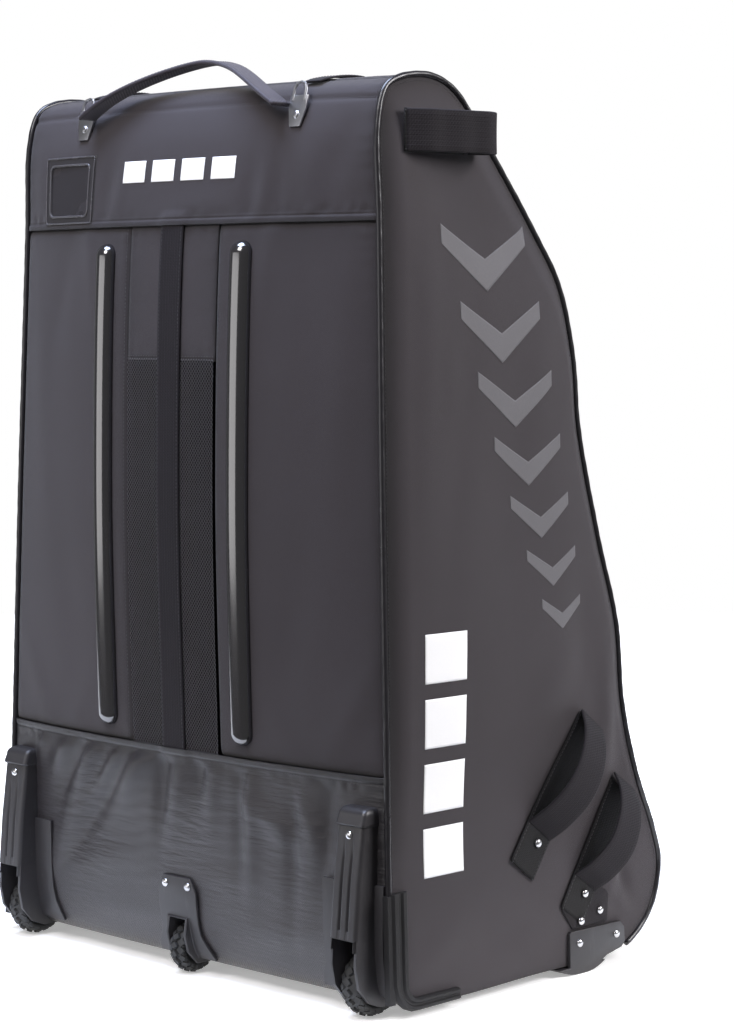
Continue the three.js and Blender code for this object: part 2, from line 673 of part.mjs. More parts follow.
// Anchor in its own plane: x across, y up along the yoke, z out of it
function handleAnchor() {
  const { halfTop, halfFoot } = ANCHOR;
  const outline = [
    [-halfFoot, -17], [halfFoot, -17], [halfTop, 3], [halfTop, 18], [-halfTop, 18], [-halfTop, 3],
  ];
  const shape = new THREE.Shape(outline.map(([a, b]) => new THREE.Vector2(a, b)));
  const plate = solidOf(new THREE.ExtrudeGeometry(shape, { depth: 2.4, bevelEnabled: false, steps: 1 }));
  const ring = [[-9, 12], [-9, 26], [-6, 31.5], [0, 33], [6, 31.5], [9, 26], [9, 12]];
  const wire = tube(ring.map(([a, b]) => ({ at: point(a, b, 1.9), out: point(0, 0, 1) })), 1.8, 6);
  return plate.add(wire).add(solidOf(rivetShape().translate(0, -4, 2.2)));
}

// A domed rivet head, out along z
function rivetShape() {
  const dome = [[0, 0], [5, 0], [3.6, 2.1], [0, 2.9]].map(([r, h]) => new THREE.Vector2(r, h));
  return new THREE.LatheGeometry(dome, 8).rotateX(Math.PI / 2);
}

function topStrap() {
  const start = onward(rearAt(ANCHOR.z), 36);
  const end = onward(mark("top_front"), -2);
  const steps = 8;
  return strap(Array.from({ length: steps + 1 }, (_, k) => {
    const index = lerp(start, end, k / steps);
    return { at: shellPoint(index, ANCHOR.x, GAP + 0.2 + 2 * (1 - k / steps) ** 2), out: shellAt(index).out };
  }), 25, WEBBING, point(1, 0, 0));
}

// Straps and zip on the sloping front
const ZIP = { width: 12, thick: 2.2, inset: 46, corner: 70, lift: 1.2 };
function padStrap(index) {
  const reach = halfWidth(shellAt(index).z) - EDGE - 0.4;
  const inner = Array.from({ length: 13 }, (_, k) => lerp(20 - reach, reach - 20, k / 12));
  const path = [-reach, ...inner, reach].map((x) => {
    const over = Math.abs(x) < reach ? ZIP.lift + ZIP.thick + 0.7 : 0.4;
    return { at: shellPoint(index, x, GAP + over), out: shellNormal(index, x) };
  });
  return strap(path, 25, WEBBING);
}

function frontZip() {
  const start = mark("toe_high");
  const half = BASE_WIDTH / 2 - ZIP.inset;
  const climb = 810;
  const line = new THREE.Path();
  line.moveTo(-half, 0);
  line.lineTo(-half, climb - ZIP.corner);
  line.absarc(-half + ZIP.corner, climb - ZIP.corner, ZIP.corner, Math.PI, Math.PI / 2, true);
  line.lineTo(half - ZIP.corner, climb);
  line.absarc(half - ZIP.corner, climb - ZIP.corner, ZIP.corner, Math.PI / 2, 0, true);
  line.lineTo(half, 0);
  const path = line.getSpacedPoints(46).map(({ x, y }) => {
    const index = y > 0.5 ? onward(start, -y) : start;
    const narrow = (halfWidth(shellAt(index).z) - ZIP.inset) / half;
    return { at: shellPoint(index, x * narrow, GAP + ZIP.lift), out: shellNormal(index, x * narrow) };
  });
  return strap(path, ZIP.width, ZIP.thick);
}

// Clear name pocket on the yoke: a raised rim round a sunk pane
function idPocket() {
  const [x0, x1, z0, z1, rim] = [-247, -148, 865, 945, 11];
  const frame = wall({
    from: rearAt(z0), to: rearAt(z1), left: () => x0, right: () => x1,
    rows: 3, cols: 5, lift: GAP + 2.6, thick: 2.2,
  });
  const sunk = wall({
    from: rearAt(z0 + rim), to: rearAt(z1 - rim), left: () => x0 + rim, right: () => x1 - rim,
    rows: 2, cols: 4, lift: 8, thick: 6.5,
  });
  return frame.subtract(sunk);
}

// Assembly
const bag = new THREE.Group();
bag.name = "wheeled_goalie_bag";
const onWheelLine = new THREE.Group();
onWheelLine.position.y = -DEPTH_MIDDLE;
bag.add(onWheelLine);

function add(name, made, material, group = onWheelLine) {
  const mesh = new THREE.Mesh(geometryOf(made), material);
  mesh.name = name;
  group.add(mesh);
  return mesh;
}

function onBothSides(build) {
  for (const side of ["left", "right"]) {
    const group = new THREE.Group();
    group.scale.x = side === "left" ? -1 : 1;
    onWheelLine.add(group);
    build(side, group);
  }
}

add("rear_boot", rearBoot, bootCloth);
add("rear_yoke", rearYoke, shellCloth);
add("vent_mesh", ventMesh, meshCloth);
add("vent_flap", ventFlap, shellCloth);
add("vent_webbing", ventWebbing, strapCloth);
add("top_panel", topPanel, shellCloth);
add("front_panel", frontPanel, shellCloth);
add("base_panel", basePanel, bootCloth);
add("front_zip", frontZip(), pipingVinyl);
add("pad_strap_upper", padStrap(mark("shoulder") - 0.18), strapCloth);
add("pad_strap_lower", padStrap(mark("waist") + 0.48), strapCloth);
add("carry_handle", carryHandle(), strapCloth);
add("id_pocket", idPocket(), clearVinyl);
add("wheel_housing_middle", middleHousing(), hardPlastic);

function addWheel(side, group, size) {
  const turning = add(`wheel_${side}`, wheel(size), tyreRubber, group);
  turning.position.set(size.x, 0, size.radius);
  const reach = size.half + size.sideGap - GAP;
  add(`axle_${side}`, rodX(AXLE_R, size.x - reach, size.x + reach, 0, size.radius, 16), steel, group);
}
addWheel("middle", onWheelLine, MIDDLE_WHEEL);

// Rivets: y and z on a side, over how much strap they stand
const SIDE_RIVETS = [
  { name: "loop_rear", y: 233, z: 162, over: LOOP_LIFT + WEBBING + 0.6 },
  { name: "loop_front_a", y: 314, z: 92, over: LOOP_LIFT + WEBBING + 0.6 },
  { name: "loop_front_b", y: 342, z: 68, over: 2.7 },
  { name: "loop_front_c", y: 306, z: 61, over: LOOP_LIFT + WEBBING + 0.3 },
  { name: "foot_a", y: 302, z: 36, over: 5.3 },
  { name: "foot_b", y: 369, z: 36, over: 5.3 },
];

onBothSides((side, group) => {
  add(`side_panel_${side}`, sidePanel(), shellCloth, group);
  add(`side_piping_${side}`, sidePiping(), pipingVinyl, group);
  add(`rear_panel_${side}`, rearField, shellCloth, group);
  add(`rear_rail_${side}`, rearRail(), hardPlastic, group);
  add(`wheel_housing_${side}`, outerHousing(), hardPlastic, group);
  add(`corner_guard_${side}`, cornerGuard(), hardPlastic, group);
  add(`front_foot_${side}`, frontFoot(), hardPlastic, group);
  add(`upper_side_handle_${side}`, sideLoop(UPPER_LOOP), strapCloth, group);
  add(`lower_rear_handle_${side}`, sideLoop(LOWER_LOOP_REAR), strapCloth, group);
  add(`lower_front_handle_${side}`, sideLoop(LOWER_LOOP_FRONT).add(loopPatch()), strapCloth, group);
  add(`top_strap_${side}`, topStrap(), strapCloth, group);
  addWheel(side, group, OUTER_WHEEL);

  const anchor = add(`handle_anchor_${side}`, handleAnchor(), steel, group);
  const index = rearAt(ANCHOR.z);
  const { up, out } = shellAt(index);
  anchor.setRotationFromMatrix(new THREE.Matrix4().makeBasis(point(1, 0, 0), up, out));
  anchor.position.copy(shellPoint(index, ANCHOR.x, GAP + 2));

  for (const { name, y, z, over } of SIDE_RIVETS) {
    const rivet = add(`rivet_${name}_${side}`, solidOf(rivetShape()), steel, group);
    rivet.rotation.y = Math.PI / 2;
    rivet.position.set(sideX(y, z) + over + GAP, y, z);
  }
  const head = add(`rivet_housing_${side}`, solidOf(rivetShape()), steel, group);
  const lean = Math.atan(spineFace(HOUSING_RIVET_Z) - spineFace(HOUSING_RIVET_Z - 1));
  head.rotation.x = Math.PI / 2 - lean;
  head.position.set(OUTER_WHEEL.x, spineFace(HOUSING_RIVET_Z) - GAP, HOUSING_RIVET_Z);
});

export default bag;
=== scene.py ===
import math
from functools import partial

import bmesh
import bpy
import numpy as np
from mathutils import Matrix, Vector


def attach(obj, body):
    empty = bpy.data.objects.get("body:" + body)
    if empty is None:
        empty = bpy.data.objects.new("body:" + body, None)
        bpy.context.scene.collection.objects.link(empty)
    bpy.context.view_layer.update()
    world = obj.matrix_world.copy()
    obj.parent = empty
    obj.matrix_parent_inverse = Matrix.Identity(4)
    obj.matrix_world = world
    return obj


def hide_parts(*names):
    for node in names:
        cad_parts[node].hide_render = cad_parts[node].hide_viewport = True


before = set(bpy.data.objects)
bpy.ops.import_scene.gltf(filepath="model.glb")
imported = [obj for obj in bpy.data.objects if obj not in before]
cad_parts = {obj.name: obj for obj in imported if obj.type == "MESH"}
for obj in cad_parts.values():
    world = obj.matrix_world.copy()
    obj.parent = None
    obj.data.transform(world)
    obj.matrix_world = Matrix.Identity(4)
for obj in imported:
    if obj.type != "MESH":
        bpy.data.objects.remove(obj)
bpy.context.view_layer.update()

# Outline of the bag
# The bag is cut round its side panels, so one closed line carries the form of every cloth piece.
# Millimetres; y runs from the wheels' contact line, and swell is how far cloth bows out at mid width.
MM = 0.001
HEIGHT = 1016
BASE_WIDTH = 653
TOP_WIDTH = 580
DEPTH_MIDDLE = 207
OUTLINE = {
    "base_rear": (60, 10, 0),
    "corner": (5, 20, 3),
    "boot_low": (-7, 60, 8),
    "boot_mid": (-8, 150, 14),
    "boot_seam": (-6, 264, 20),
    "rear_mid": (-2, 560, 32),
    "yoke_seam": (4, 860, 28),
    "yoke_high": (5, 962, 13),
    "top_roll": (18, 1001, 5),
    "top_seam": (42, 1014, 3),
    "top_front": (92, 1018, 3),
    "brow": (129, 1003, 7),
    "slope_high": (184, 940, 14),
    "slope_low": (254, 853, 18),
    "shoulder": (296, 792, 20),
    "knee": (318, 712, 20),
    "waist": (325, 630, 20),
    "belly": (356, 502, 22),
    "hip": (386, 400, 20),
    "shin": (394, 306, 16),
    "instep": (417, 221, 10),
    "toe_high": (447, 150, 5),
    "toe": (457, 108, 3),
    "toe_low": (441, 58, 3),
    "toe_under": (405, 26, 1),
    "base_front": (362, 13, 0),
    "base_mid": (220, 10, 0),
}
outline_rows = np.array(list(OUTLINE.values()), float)
ROW_COUNT = len(outline_rows)


def row(name):
    return list(OUTLINE).index(name)


def norm(vectors):
    return np.linalg.norm(vectors, axis=-1, keepdims=True)


def unit(vectors):
    return vectors / norm(vectors)


def run_along(path):
    """How far along a path each of its points lies."""
    return np.concatenate([[0], np.cumsum(norm(np.diff(path, axis=0)))])


def spline(stops, index, closed=False):
    """Places and slopes on a smooth line through stops, at stop numbers that may lie between stops."""
    stops = np.asarray(stops, float)
    index = np.asarray(index, float)
    if closed:
        index = index % len(stops)
        first = np.floor(index).astype(int)
        around = [stops[(first + k) % len(stops)] for k in (-1, 0, 1, 2)]
    else:
        first = np.clip(np.floor(index).astype(int), 0, len(stops) - 2)
        ends = np.vstack([2 * stops[0] - stops[1], stops, 2 * stops[-1] - stops[-2]])
        around = [ends[first + k] for k in range(4)]
    p0, p1, p2, p3 = around
    d0, d1, d2 = (np.sqrt(norm(b - a)) for a, b in ((p0, p1), (p1, p2), (p2, p3)))
    leave = ((p1 - p0) / d0 - (p2 - p0) / (d0 + d1) + (p2 - p1) / d1) * d1
    arrive = ((p2 - p1) / d1 - (p3 - p1) / (d1 + d2) + (p3 - p2) / d2) * d1
    c2 = -3 * p1 + 3 * p2 - 2 * leave - arrive
    c3 = 2 * p1 - 2 * p2 + leave + arrive
    t = (index - first)[..., None]
    return p1 + leave * t + c2 * t**2 + c3 * t**3, leave + 2 * c2 * t + 3 * c3 * t**2


def outline(index):
    """Place, swell and outward direction on the outline."""
    place, slope = spline(outline_rows, index, closed=True)
    along = unit(slope[..., :2])
    return place, np.stack([-along[..., 1], along[..., 0]], -1)


STEPS = 200
outline_steps = np.linspace(0, ROW_COUNT, STEPS * ROW_COUNT + 1)
outline_line = outline(outline_steps)[0]
outline_run = run_along(outline_line[:, :2])
rear_stretch = slice(STEPS * row("corner"), STEPS * row("top_roll"))


def run_at(index):
    return np.interp(index, outline_steps, outline_run)


def onward(index, distance):
    """Place along the outline, a distance in millimetres from another place."""
    return np.interp(run_at(index) + distance, outline_run, outline_steps)


def rear_at(z):
    """Place on the wheel panel's stretch of the outline at a height."""
    return np.interp(z, outline_line[rear_stretch, 1], outline_steps[rear_stretch])


def half_width(z):
    return (BASE_WIDTH + (TOP_WIDTH - BASE_WIDTH) * np.clip(z / HEIGHT, 0, 1)) / 2


def shell(index, x, lift=0):
    """Points on the bag's rear, top, front or base, raised by lift."""
    place, out = outline(index)
    share = np.minimum(1, np.abs(x) / half_width(place[..., 1]))
    bow = place[..., 2] * (1 - share**2.5) + lift
    y = place[..., 0] + out[..., 0] * bow
    z = place[..., 1] + out[..., 1] * bow
    return np.stack(np.broadcast_arrays(x, y, z), -1)


def outward(index):
    """Outward directions at places on the outline, with nothing across the bag."""
    out = outline(index)[1]
    return np.column_stack([np.zeros(len(out)), out])


def ease(value, low, high):
    t = np.clip((value - low) / (high - low), 0, 1)
    return t * t * (3 - 2 * t)


def graded(count, crowd=0.8):
    """Steps from 0 to 1 that crowd together at both ends."""
    t = np.linspace(0, 1, count)
    return t - crowd * np.sin(2 * np.pi * t) / (2 * np.pi)


def folds(across, up, table):
    """Soft ridges, or troughs where the depth is below 0.

    A row is a place across and up, the lean from upright in degrees, reach, half width and depth."""
    rise = 0
    for middle, height, lean, reach, half, depth in table:
        turn = math.radians(lean)
        along = (across - middle) * math.sin(turn) + (up - height) * math.cos(turn)
        aside = (across - middle) * math.cos(turn) - (up - height) * math.sin(turn)
        rise = rise + depth * np.exp(-((along / reach) ** 2) - (aside / half) ** 2)
    return rise


def link(name, data):
    """An object of the scene with this mesh, lamp or camera."""
    made = bpy.data.objects.new(name, data)
    bpy.context.scene.collection.objects.link(made)
    return made


def make(name, points, faces, uv=None, side=1, shade=None):
    """A piece from points in millimetres; side -1 mirrors it, and shade is painted shade that darkens its
    cloth into seams.
    """
    points = (np.reshape(points, (-1, 3)) * (side, 1, 1) - (0, DEPTH_MIDDLE, 0)) * MM
    faces = [face[::-1] for face in faces] if side < 0 else list(faces)
    mesh = bpy.data.meshes.new(name)
    mesh.from_pydata(points.tolist(), [], faces)
    if uv is not None:
        corner = np.empty(len(mesh.loops), np.int32)
        mesh.loops.foreach_get("vertex_index", corner)
        layer = mesh.uv_layers.new(name="cloth")
        layer.data.foreach_set("uv", (np.reshape(uv, (-1, 2)) * MM)[corner].astype(np.float32).ravel())
    if shade is not None:
        layer = mesh.attributes.new("shade", "FLOAT", "POINT")
        layer.data.foreach_set("value", np.ravel(shade).astype(np.float32))
    mesh.polygons.foreach_set("use_smooth", [True] * len(mesh.polygons))
    return link(name, mesh)


def fit(piece, material, slot, *nodes, body="bag"):
    """Gives a piece its material, its body and the nodes that it stands for; its slot is not used."""
    if material is not None:
        piece.data.materials.append(material)
    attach(piece, body)
    if nodes:
        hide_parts(*nodes)
    return piece


def painted_seam_shade(near, parts):
    """How much painted shade darkens cloth near a seam, from pairs of darkness and reach."""
    return sum(dark * np.exp(-near / reach) for dark, reach in parts)


SIDES = {"left": -1, "right": 1}
thread_lines = []

# Charcoal cloth
# Matt woven polyester with a fine plain weave, lightly mottled where it has been handled and dusty low down.
# Its weave and its mottling are node groups, because the other cloths and the webbing have them too.
# Its mottling group also darkens the cloth by the painted shade that each piece carries near its seams.
DUST_COLOUR = (0.13, 0.12, 0.11, 1)
DUST_TOP = 0.16


def feed(made, inputs):
    """Sets a node's inputs, each to a value or to another node's output."""
    for key, value in inputs.items():
        if isinstance(value, bpy.types.NodeSocket):
            made.id_data.links.new(value, made.inputs[key])
        else:
            made.inputs[key].default_value = value
    return made


def node(tree, kind, inputs=None, **settings):
    """Adds a node with its settings and its inputs."""
    made = tree.nodes.new(kind)
    for key, value in settings.items():
        setattr(made, key, value)
    return feed(made, inputs or {})


def math_node(tree, operation, *values):
    return node(tree, "ShaderNodeMath", dict(enumerate(values)), operation=operation).outputs[0]


def noise(tree, place, scale, detail=2.0, roughness=0.5):
    return node(tree, "ShaderNodeTexNoise", {
        "Vector": place, "Scale": scale, "Detail": detail, "Roughness": roughness}).outputs["Fac"]


def remap(tree, value, low, high, to_low=0.0, to_high=1.0, curve="LINEAR"):
    return node(tree, "ShaderNodeMapRange", {
        "Value": value, "From Min": low, "From Max": high, "To Min": to_low, "To Max": to_high},
        interpolation_type=curve).outputs[0]


def mix_colours(tree, share, first, second):
    return node(tree, "ShaderNodeMix", {
        "Factor": share, "A": first, "B": second}, data_type="RGBA").outputs["Result"]


def bumped(tree, height, strength, depth, normal=None):
    """A surface's direction as a height turns it; depth is in millimetres."""
    inputs = {"Height": height, "Strength": strength, "Distance": depth * MM}
    if normal is not None:
        inputs["Normal"] = normal
    return node(tree, "ShaderNodeBump", inputs).outputs["Normal"]


def group_tree(name, kind, inputs, outputs):
    """A node group with named sockets: the tree, what it is given and the node to feed with its results."""
    tree = bpy.data.node_groups.new(name, kind)
    for way, sockets in (("INPUT", inputs), ("OUTPUT", outputs)):
        for label, socket in sockets.items():
            tree.interface.new_socket(label, in_out=way, socket_type=f"NodeSocket{socket}")
    return tree, tree.nodes.new("NodeGroupInput").outputs, tree.nodes.new("NodeGroupOutput")


plain_weave, given, result = group_tree(
    "plain_weave", "ShaderNodeTree",
    {"Vector": "Vector", "Across per metre": "Float", "Along per metre": "Float"}, {"Height": "Float"})
sums = partial(math_node, plain_weave)
flat = node(plain_weave, "ShaderNodeSeparateXYZ", {0: given["Vector"]}).outputs
across = sums("MULTIPLY", flat["X"], given["Across per metre"])
along = sums("MULTIPLY", flat["Y"], given["Along per metre"])
cells = sums("ADD", sums("FLOOR", across), sums("FLOOR", along))
over = sums("MODULO", sums("ABSOLUTE", cells), 2.0)
warp, weft = (sums("ABSOLUTE", sums("SINE", sums("MULTIPLY", run, math.pi))) for run in (across, along))
crossing = node(plain_weave, "ShaderNodeMix", {"Factor": over, "A": warp, "B": weft})
feed(result, {"Height": crossing.outputs["Result"]})

cloth_mottle, given, result = group_tree(
    "cloth_mottle", "ShaderNodeTree",
    {"Vector": "Vector", "Colour": "Color", "Amount": "Float", "Dust": "Float", "Shade": "Float"},
    {"Colour": "Color"})
sums = partial(math_node, cloth_mottle)
broad = noise(cloth_mottle, given["Vector"], 9, 4, 0.6)
fine = noise(cloth_mottle, given["Vector"], 420, 2, 0.7)
swing = sums("MULTIPLY", sums("SUBTRACT", sums("ADD", broad, fine), 1.0), given["Amount"])
# tone from the random mottle, darkened by the painted shade that the piece carries
shade = sums("SUBTRACT", sums("ADD", swing, 1.0), given["Shade"])
tinted = node(cloth_mottle, "ShaderNodeVectorMath", {0: given["Colour"], "Scale": shade}, operation="SCALE")
height = node(cloth_mottle, "ShaderNodeSeparateXYZ", {0: given["Vector"]}).outputs["Z"]
low = remap(cloth_mottle, height, 0.0, DUST_TOP, 1.0, 0.0)
dust = sums("MULTIPLY", sums("MULTIPLY", low, broad), given["Dust"])
feed(result, {"Colour": mix_colours(cloth_mottle, dust, tinted.outputs[0], DUST_COLOUR)})


def new_material(name):
    """A material, its tree, its surface and the place that its patterns are laid out by."""
    material = bpy.data.materials.new(name)
    material.use_nodes = True
    tree = material.node_tree
    return material, tree, tree.nodes["Principled BSDF"], node(tree, "ShaderNodeTexCoord").outputs["Object"]


def cloth(name, colour, roughness, threads, relief, mottle=0.25, dust=0.1, sheen=0.25, shine=0.35,
          extra=None):
    """A woven finish; extra adds another height to the weave's."""
    material, tree, face, place = new_material(name)
    flat = node(tree, "ShaderNodeUVMap", uv_map="cloth").outputs["UV"]
    weave = node(tree, "ShaderNodeGroup", {
        "Vector": flat, "Across per metre": threads[0], "Along per metre": threads[1]},
        node_tree=plain_weave)
    # painted shade that the piece carries near its seams
    darker = node(tree, "ShaderNodeAttribute", attribute_name="shade").outputs["Fac"]
    colours = node(tree, "ShaderNodeGroup", {
        "Vector": place, "Colour": (*colour, 1), "Amount": mottle, "Dust": dust, "Shade": darker},
        node_tree=cloth_mottle)
    normal = bumped(tree, weave.outputs["Height"], 0.5, relief)
    feed(face, {
        "Base Color": colours.outputs["Colour"], "Roughness": roughness, "Sheen Weight": sheen,
        "Sheen Roughness": 0.5, "Specular IOR Level": shine,
        "Normal": normal if extra is None else extra(tree, place, normal)})
    return material


def soft_unevenness(tree, place, normal):
    """Slack in tight cloth: low broad swells that catch the light."""
    return bumped(tree, noise(tree, place, 7, 3), 0.25, 6, normal)


charcoal_cloth = cloth(
    "charcoal_cloth", (0.029, 0.0235, 0.027), 0.8, (900, 900), 0.25, dust=0.03, sheen=0.12,
    extra=soft_unevenness)

# Side panels
# Two pieces of charcoal cloth cut to the outline, which bow out over a full bag and sag in soft hollows.
# Beside the rear piping the cloth sinks over its seam allowance, with painted shade there; by the front foot
# it gathers in folds.
CLOTH = 2.4
TUCK = 1.5
SIDE_MIDDLE = np.array([185, 430])
SIDE_SWELL = 13
# place across and up, half sizes, depth
SIDE_HOLLOWS = [(195, 560, 80, 150, 6), (140, 860, 60, 60, 4), (320, 400, 34, 70, 5)]
SIDE_FOLDS = [
    (372, 112, 24, 46, 13, 5),
    (402, 150, 18, 44, 12, -4),
    (360, 290, 4, 70, 15, 6),
    (398, 255, 20, 70, 16, -3),
    (392, 98, -24, 20, 9, -6),
    (384, 72, -50, 24, 8, 4),
    (258, 330, 40, 70, 26, 2.5),
    (70, 70, 60, 60, 20, 3),
    (150, 52, 74, 70, 18, -2.5),
    (230, 60, -70, 60, 18, 3),
    (110, 905, 70, 60, 16, -2),
    (60, 700, 4, 150, 18, 2.2),
    (110, 620, 10, 170, 24, -1.8),
    (250, 700, 12, 110, 26, 2),
]
REAR_ROLL, REAR_SINK = 4, 2
# how far in from the piping, and at what heights, the cloth comes up from the rear seam or fills out
SINK_WIDE, SINK_FROM, SINK_TO = (2, 34), (120, 220), (960, 1000)
SWELL_FROM, ROLL_FROM = (180, 480), (170, 320)
# painted shade: darkness and reach by the edge, darkness where the cloth sinks by the rear piping, and the
# most of it
SIDE_SHADE, SINK_SHADE, DARKEST = [(0.35, 3), (0.2, 12)], 0.55, 0.7
SIDE_STEPS, SIDE_RINGS = 8, 64
SIDE_STITCH = 7

side_steps = np.arange(SIDE_STEPS * ROW_COUNT) / SIDE_STEPS
side_place, side_out = outline(side_steps)
side_edge = side_place[:, :2] - side_out * TUCK
side_ray = side_edge - SIDE_MIDDLE
side_turn = np.arctan2(side_ray[:, 1], side_ray[:, 0])
side_length = np.linalg.norm(side_ray, axis=1)


def side_reach(y, z):
    """How far out a place on a side lies: 0 at its middle point and 1 at its edge."""
    turn = np.arctan2(z - SIDE_MIDDLE[1], y - SIDE_MIDDLE[0])
    length = np.hypot(y - SIDE_MIDDLE[0], z - SIDE_MIDDLE[1])
    return length / np.interp(turn, *zip(*sorted(zip(side_turn, side_length))), period=2 * np.pi)


def side_shoulder(y, z):
    """How far the cloth has come up from the rear piping: 0 in the seam and 1 on the flat of the side."""
    beside = y - np.interp(z, outline_line[rear_stretch, 1], outline_line[rear_stretch, 0])
    return 1 - (1 - ease(beside, *SINK_WIDE)) * ease(z, *SINK_FROM) * (1 - ease(z, *SINK_TO))


def side_x(y, z):
    """How far from the bag's middle plane the side cloth lies."""
    reach = np.minimum(1, side_reach(y, z))
    bow = SIDE_SWELL * (1 - reach**3) * ease(z, *SWELL_FROM)
    for middle, height, half_y, half_z, depth in SIDE_HOLLOWS:
        away = ((y - middle) / half_y) ** 2 + ((z - height) / half_z) ** 2
        bow = bow - depth * np.exp(-away) * (1 - reach**6)
    bow = bow + folds(y, z, SIDE_FOLDS) * (1 - reach**8)
    full = ease(z, *ROLL_FROM) * (1 - ease(reach, 0.9, 1))
    shoulder = side_shoulder(y, z)
    return half_width(z) + bow + REAR_ROLL * full * shoulder - REAR_SINK * (1 - shoulder)


def loft(rings, ends=None):
    """A closed skin through rings of points, its two ends closed by fans from the rings' middles."""
    count, around = rings.shape[:2]
    number = np.arange(count * around).reshape(count, around)
    ahead = np.roll(number, -1, axis=1)
    quads = np.stack([number[:-1], ahead[:-1], ahead[1:], number[1:]], -1).reshape(-1, 4)
    ends = [rings[0].mean(0), rings[-1].mean(0)] if ends is None else ends
    first = np.stack([ahead[0], number[0], np.full(around, count * around)], -1)
    last = np.stack([number[-1], ahead[-1], np.full(around, count * around + 1)], -1)
    return np.concatenate([rings.reshape(-1, 3), ends]), [*quads.tolist(), *first.tolist(), *last.tolist()]


# rings of the outline drawn in to the middle point, outside and then inside
drawn_in = np.sin(np.linspace(0.02, 1, SIDE_RINGS) * np.pi / 2)[:, None]
side_flat = SIDE_MIDDLE + drawn_in[..., None] * side_ray
side_yz = np.moveaxis(side_flat, -1, 0)
outside = np.dstack([side_x(*side_yz), side_flat])
middle = np.array([side_x(*SIDE_MIDDLE), *SIDE_MIDDLE])
inside, middle_inside = (place - (CLOTH, 0, 0) for place in (outside[::-1], middle))
side_skin = loft(np.concatenate([outside, inside]), [middle, middle_inside])
# painted shade, darker near the edge and where the cloth sinks beside the rear piping
seam = painted_seam_shade((1 - drawn_in) * side_length, SIDE_SHADE)
shade = np.minimum(DARKEST, seam + SINK_SHADE * (1 - side_shoulder(*side_yz)))
side_shade = np.concatenate([shade.ravel(), shade[::-1].ravel(), [0, 0]])
side_uv = np.concatenate([side_flat, side_flat[::-1]]).reshape(-1, 2)
side_uv = np.concatenate([side_uv, [SIDE_MIDDLE, SIDE_MIDDLE]])
sewn = slice(SIDE_STEPS * row("boot_mid"), SIDE_STEPS * row("toe_under"))
stops = side_place[sewn, :2] - side_out[sewn] * SIDE_STITCH
side_line = np.column_stack([side_x(*stops.T) + 0.2, stops])
for side, sign in SIDES.items():
    panel = make(f"side_cloth_{side}", *side_skin, side_uv, sign, side_shade)
    fit(panel, charcoal_cloth, "shell_cloth", f"side_panel_{side}")
    thread_lines.append(side_line * (sign, 1, 1))

# Piping
# A vinyl-covered cord sewn between each side panel and the rest, from the corner guard over the bag to the
# foot. Its cover is shiny black and slightly uneven from being drawn round the corners.
PIPING_R, PIPING_LOW, PIPING_TUCK = 3.5, 132, 14
PIPING_STEPS, PIPING_SIDES = 520, 12
SCUFF_COLOUR = (0.11, 0.11, 0.11, 1)

moulded_grain, given, result = group_tree(
    "moulded_grain", "ShaderNodeTree",
    {"Vector": "Vector", "Colour": "Color", "Roughness": "Float", "Grain": "Float", "Scuff": "Float",
     "Patchy": "Float"},
    {"Colour": "Color", "Roughness": "Float", "Height": "Float"})
sums = partial(math_node, moulded_grain)
drawn = node(moulded_grain, "ShaderNodeMapping", {
    "Vector": given["Vector"], "Scale": (60, 60, 9)}).outputs[0]
scratches = remap(moulded_grain, noise(moulded_grain, drawn, 3, 6, 0.75), 0.56, 0.74)
scuffed = sums("MULTIPLY", scratches, given["Scuff"])
patches = noise(moulded_grain, given["Vector"], 14, 5, 0.65)
swing = sums("MULTIPLY", sums("SUBTRACT", patches, 0.5), given["Patchy"])
feed(result, {
    "Colour": mix_colours(moulded_grain, scuffed, given["Colour"], SCUFF_COLOUR),
    "Roughness": sums("ADD", given["Roughness"], swing),
    "Height": noise(moulded_grain, given["Vector"], given["Grain"])})


def grain(name, colour, roughness, grain_scale, grain_depth, scuff=0.3, patchy=0.3, shine=0.5, metallic=0.0):
    """A moulded or drawn finish: fine grain, patches of polish and pale scuffs."""
    material, tree, face, place = new_material(name)
    worn = node(tree, "ShaderNodeGroup", {
        "Vector": place, "Colour": (*colour, 1), "Roughness": roughness, "Grain": grain_scale,
        "Scuff": scuff, "Patchy": patchy}, node_tree=moulded_grain).outputs
    feed(face, {
        "Base Color": worn["Colour"], "Roughness": worn["Roughness"], "Metallic": metallic,
        "Specular IOR Level": shine, "Normal": bumped(tree, worn["Height"], 0.4, grain_depth)})
    return material


piping_vinyl = grain("piping_vinyl", (0.012, 0.011, 0.013), 0.3, 500, 0.05, scuff=0.1, patchy=0.2)


def tube(path, radius, sides, out):
    """Rings round a path; out points away from the cloth and keeps the rings from turning."""
    ahead = unit(np.gradient(path, axis=0))
    side = unit(np.cross(out, ahead))
    clear = np.cross(ahead, side)
    turn = np.arange(sides) * 2 * np.pi / sides
    ring = np.cos(turn)[None, :, None] * side[:, None] + np.sin(turn)[None, :, None] * clear[:, None]
    return loft(path[:, None] + ring * np.reshape(radius, (-1, 1, 1)))


piping_end = onward(row("toe_under"), PIPING_TUCK)
piping_run = np.linspace(run_at(rear_at(PIPING_LOW)), run_at(piping_end), PIPING_STEPS)
piping_index = np.interp(piping_run, outline_run, outline_steps)
piping_place = outline(piping_index)[0]
piping_path = np.column_stack([half_width(piping_place[:, 1]), piping_place[:, :2]])
piping_radius = PIPING_R + 0.12 * np.sin(piping_run / 3.1) + 0.1 * np.sin(piping_run / 7.7 + 1)
piping_skin = tube(piping_path, piping_radius, PIPING_SIDES, outward(piping_index))
for side, sign in SIDES.items():
    piping = make(f"piping_{side}", *piping_skin, side=sign)
    fit(piping, piping_vinyl, "piping", f"side_piping_{side}")

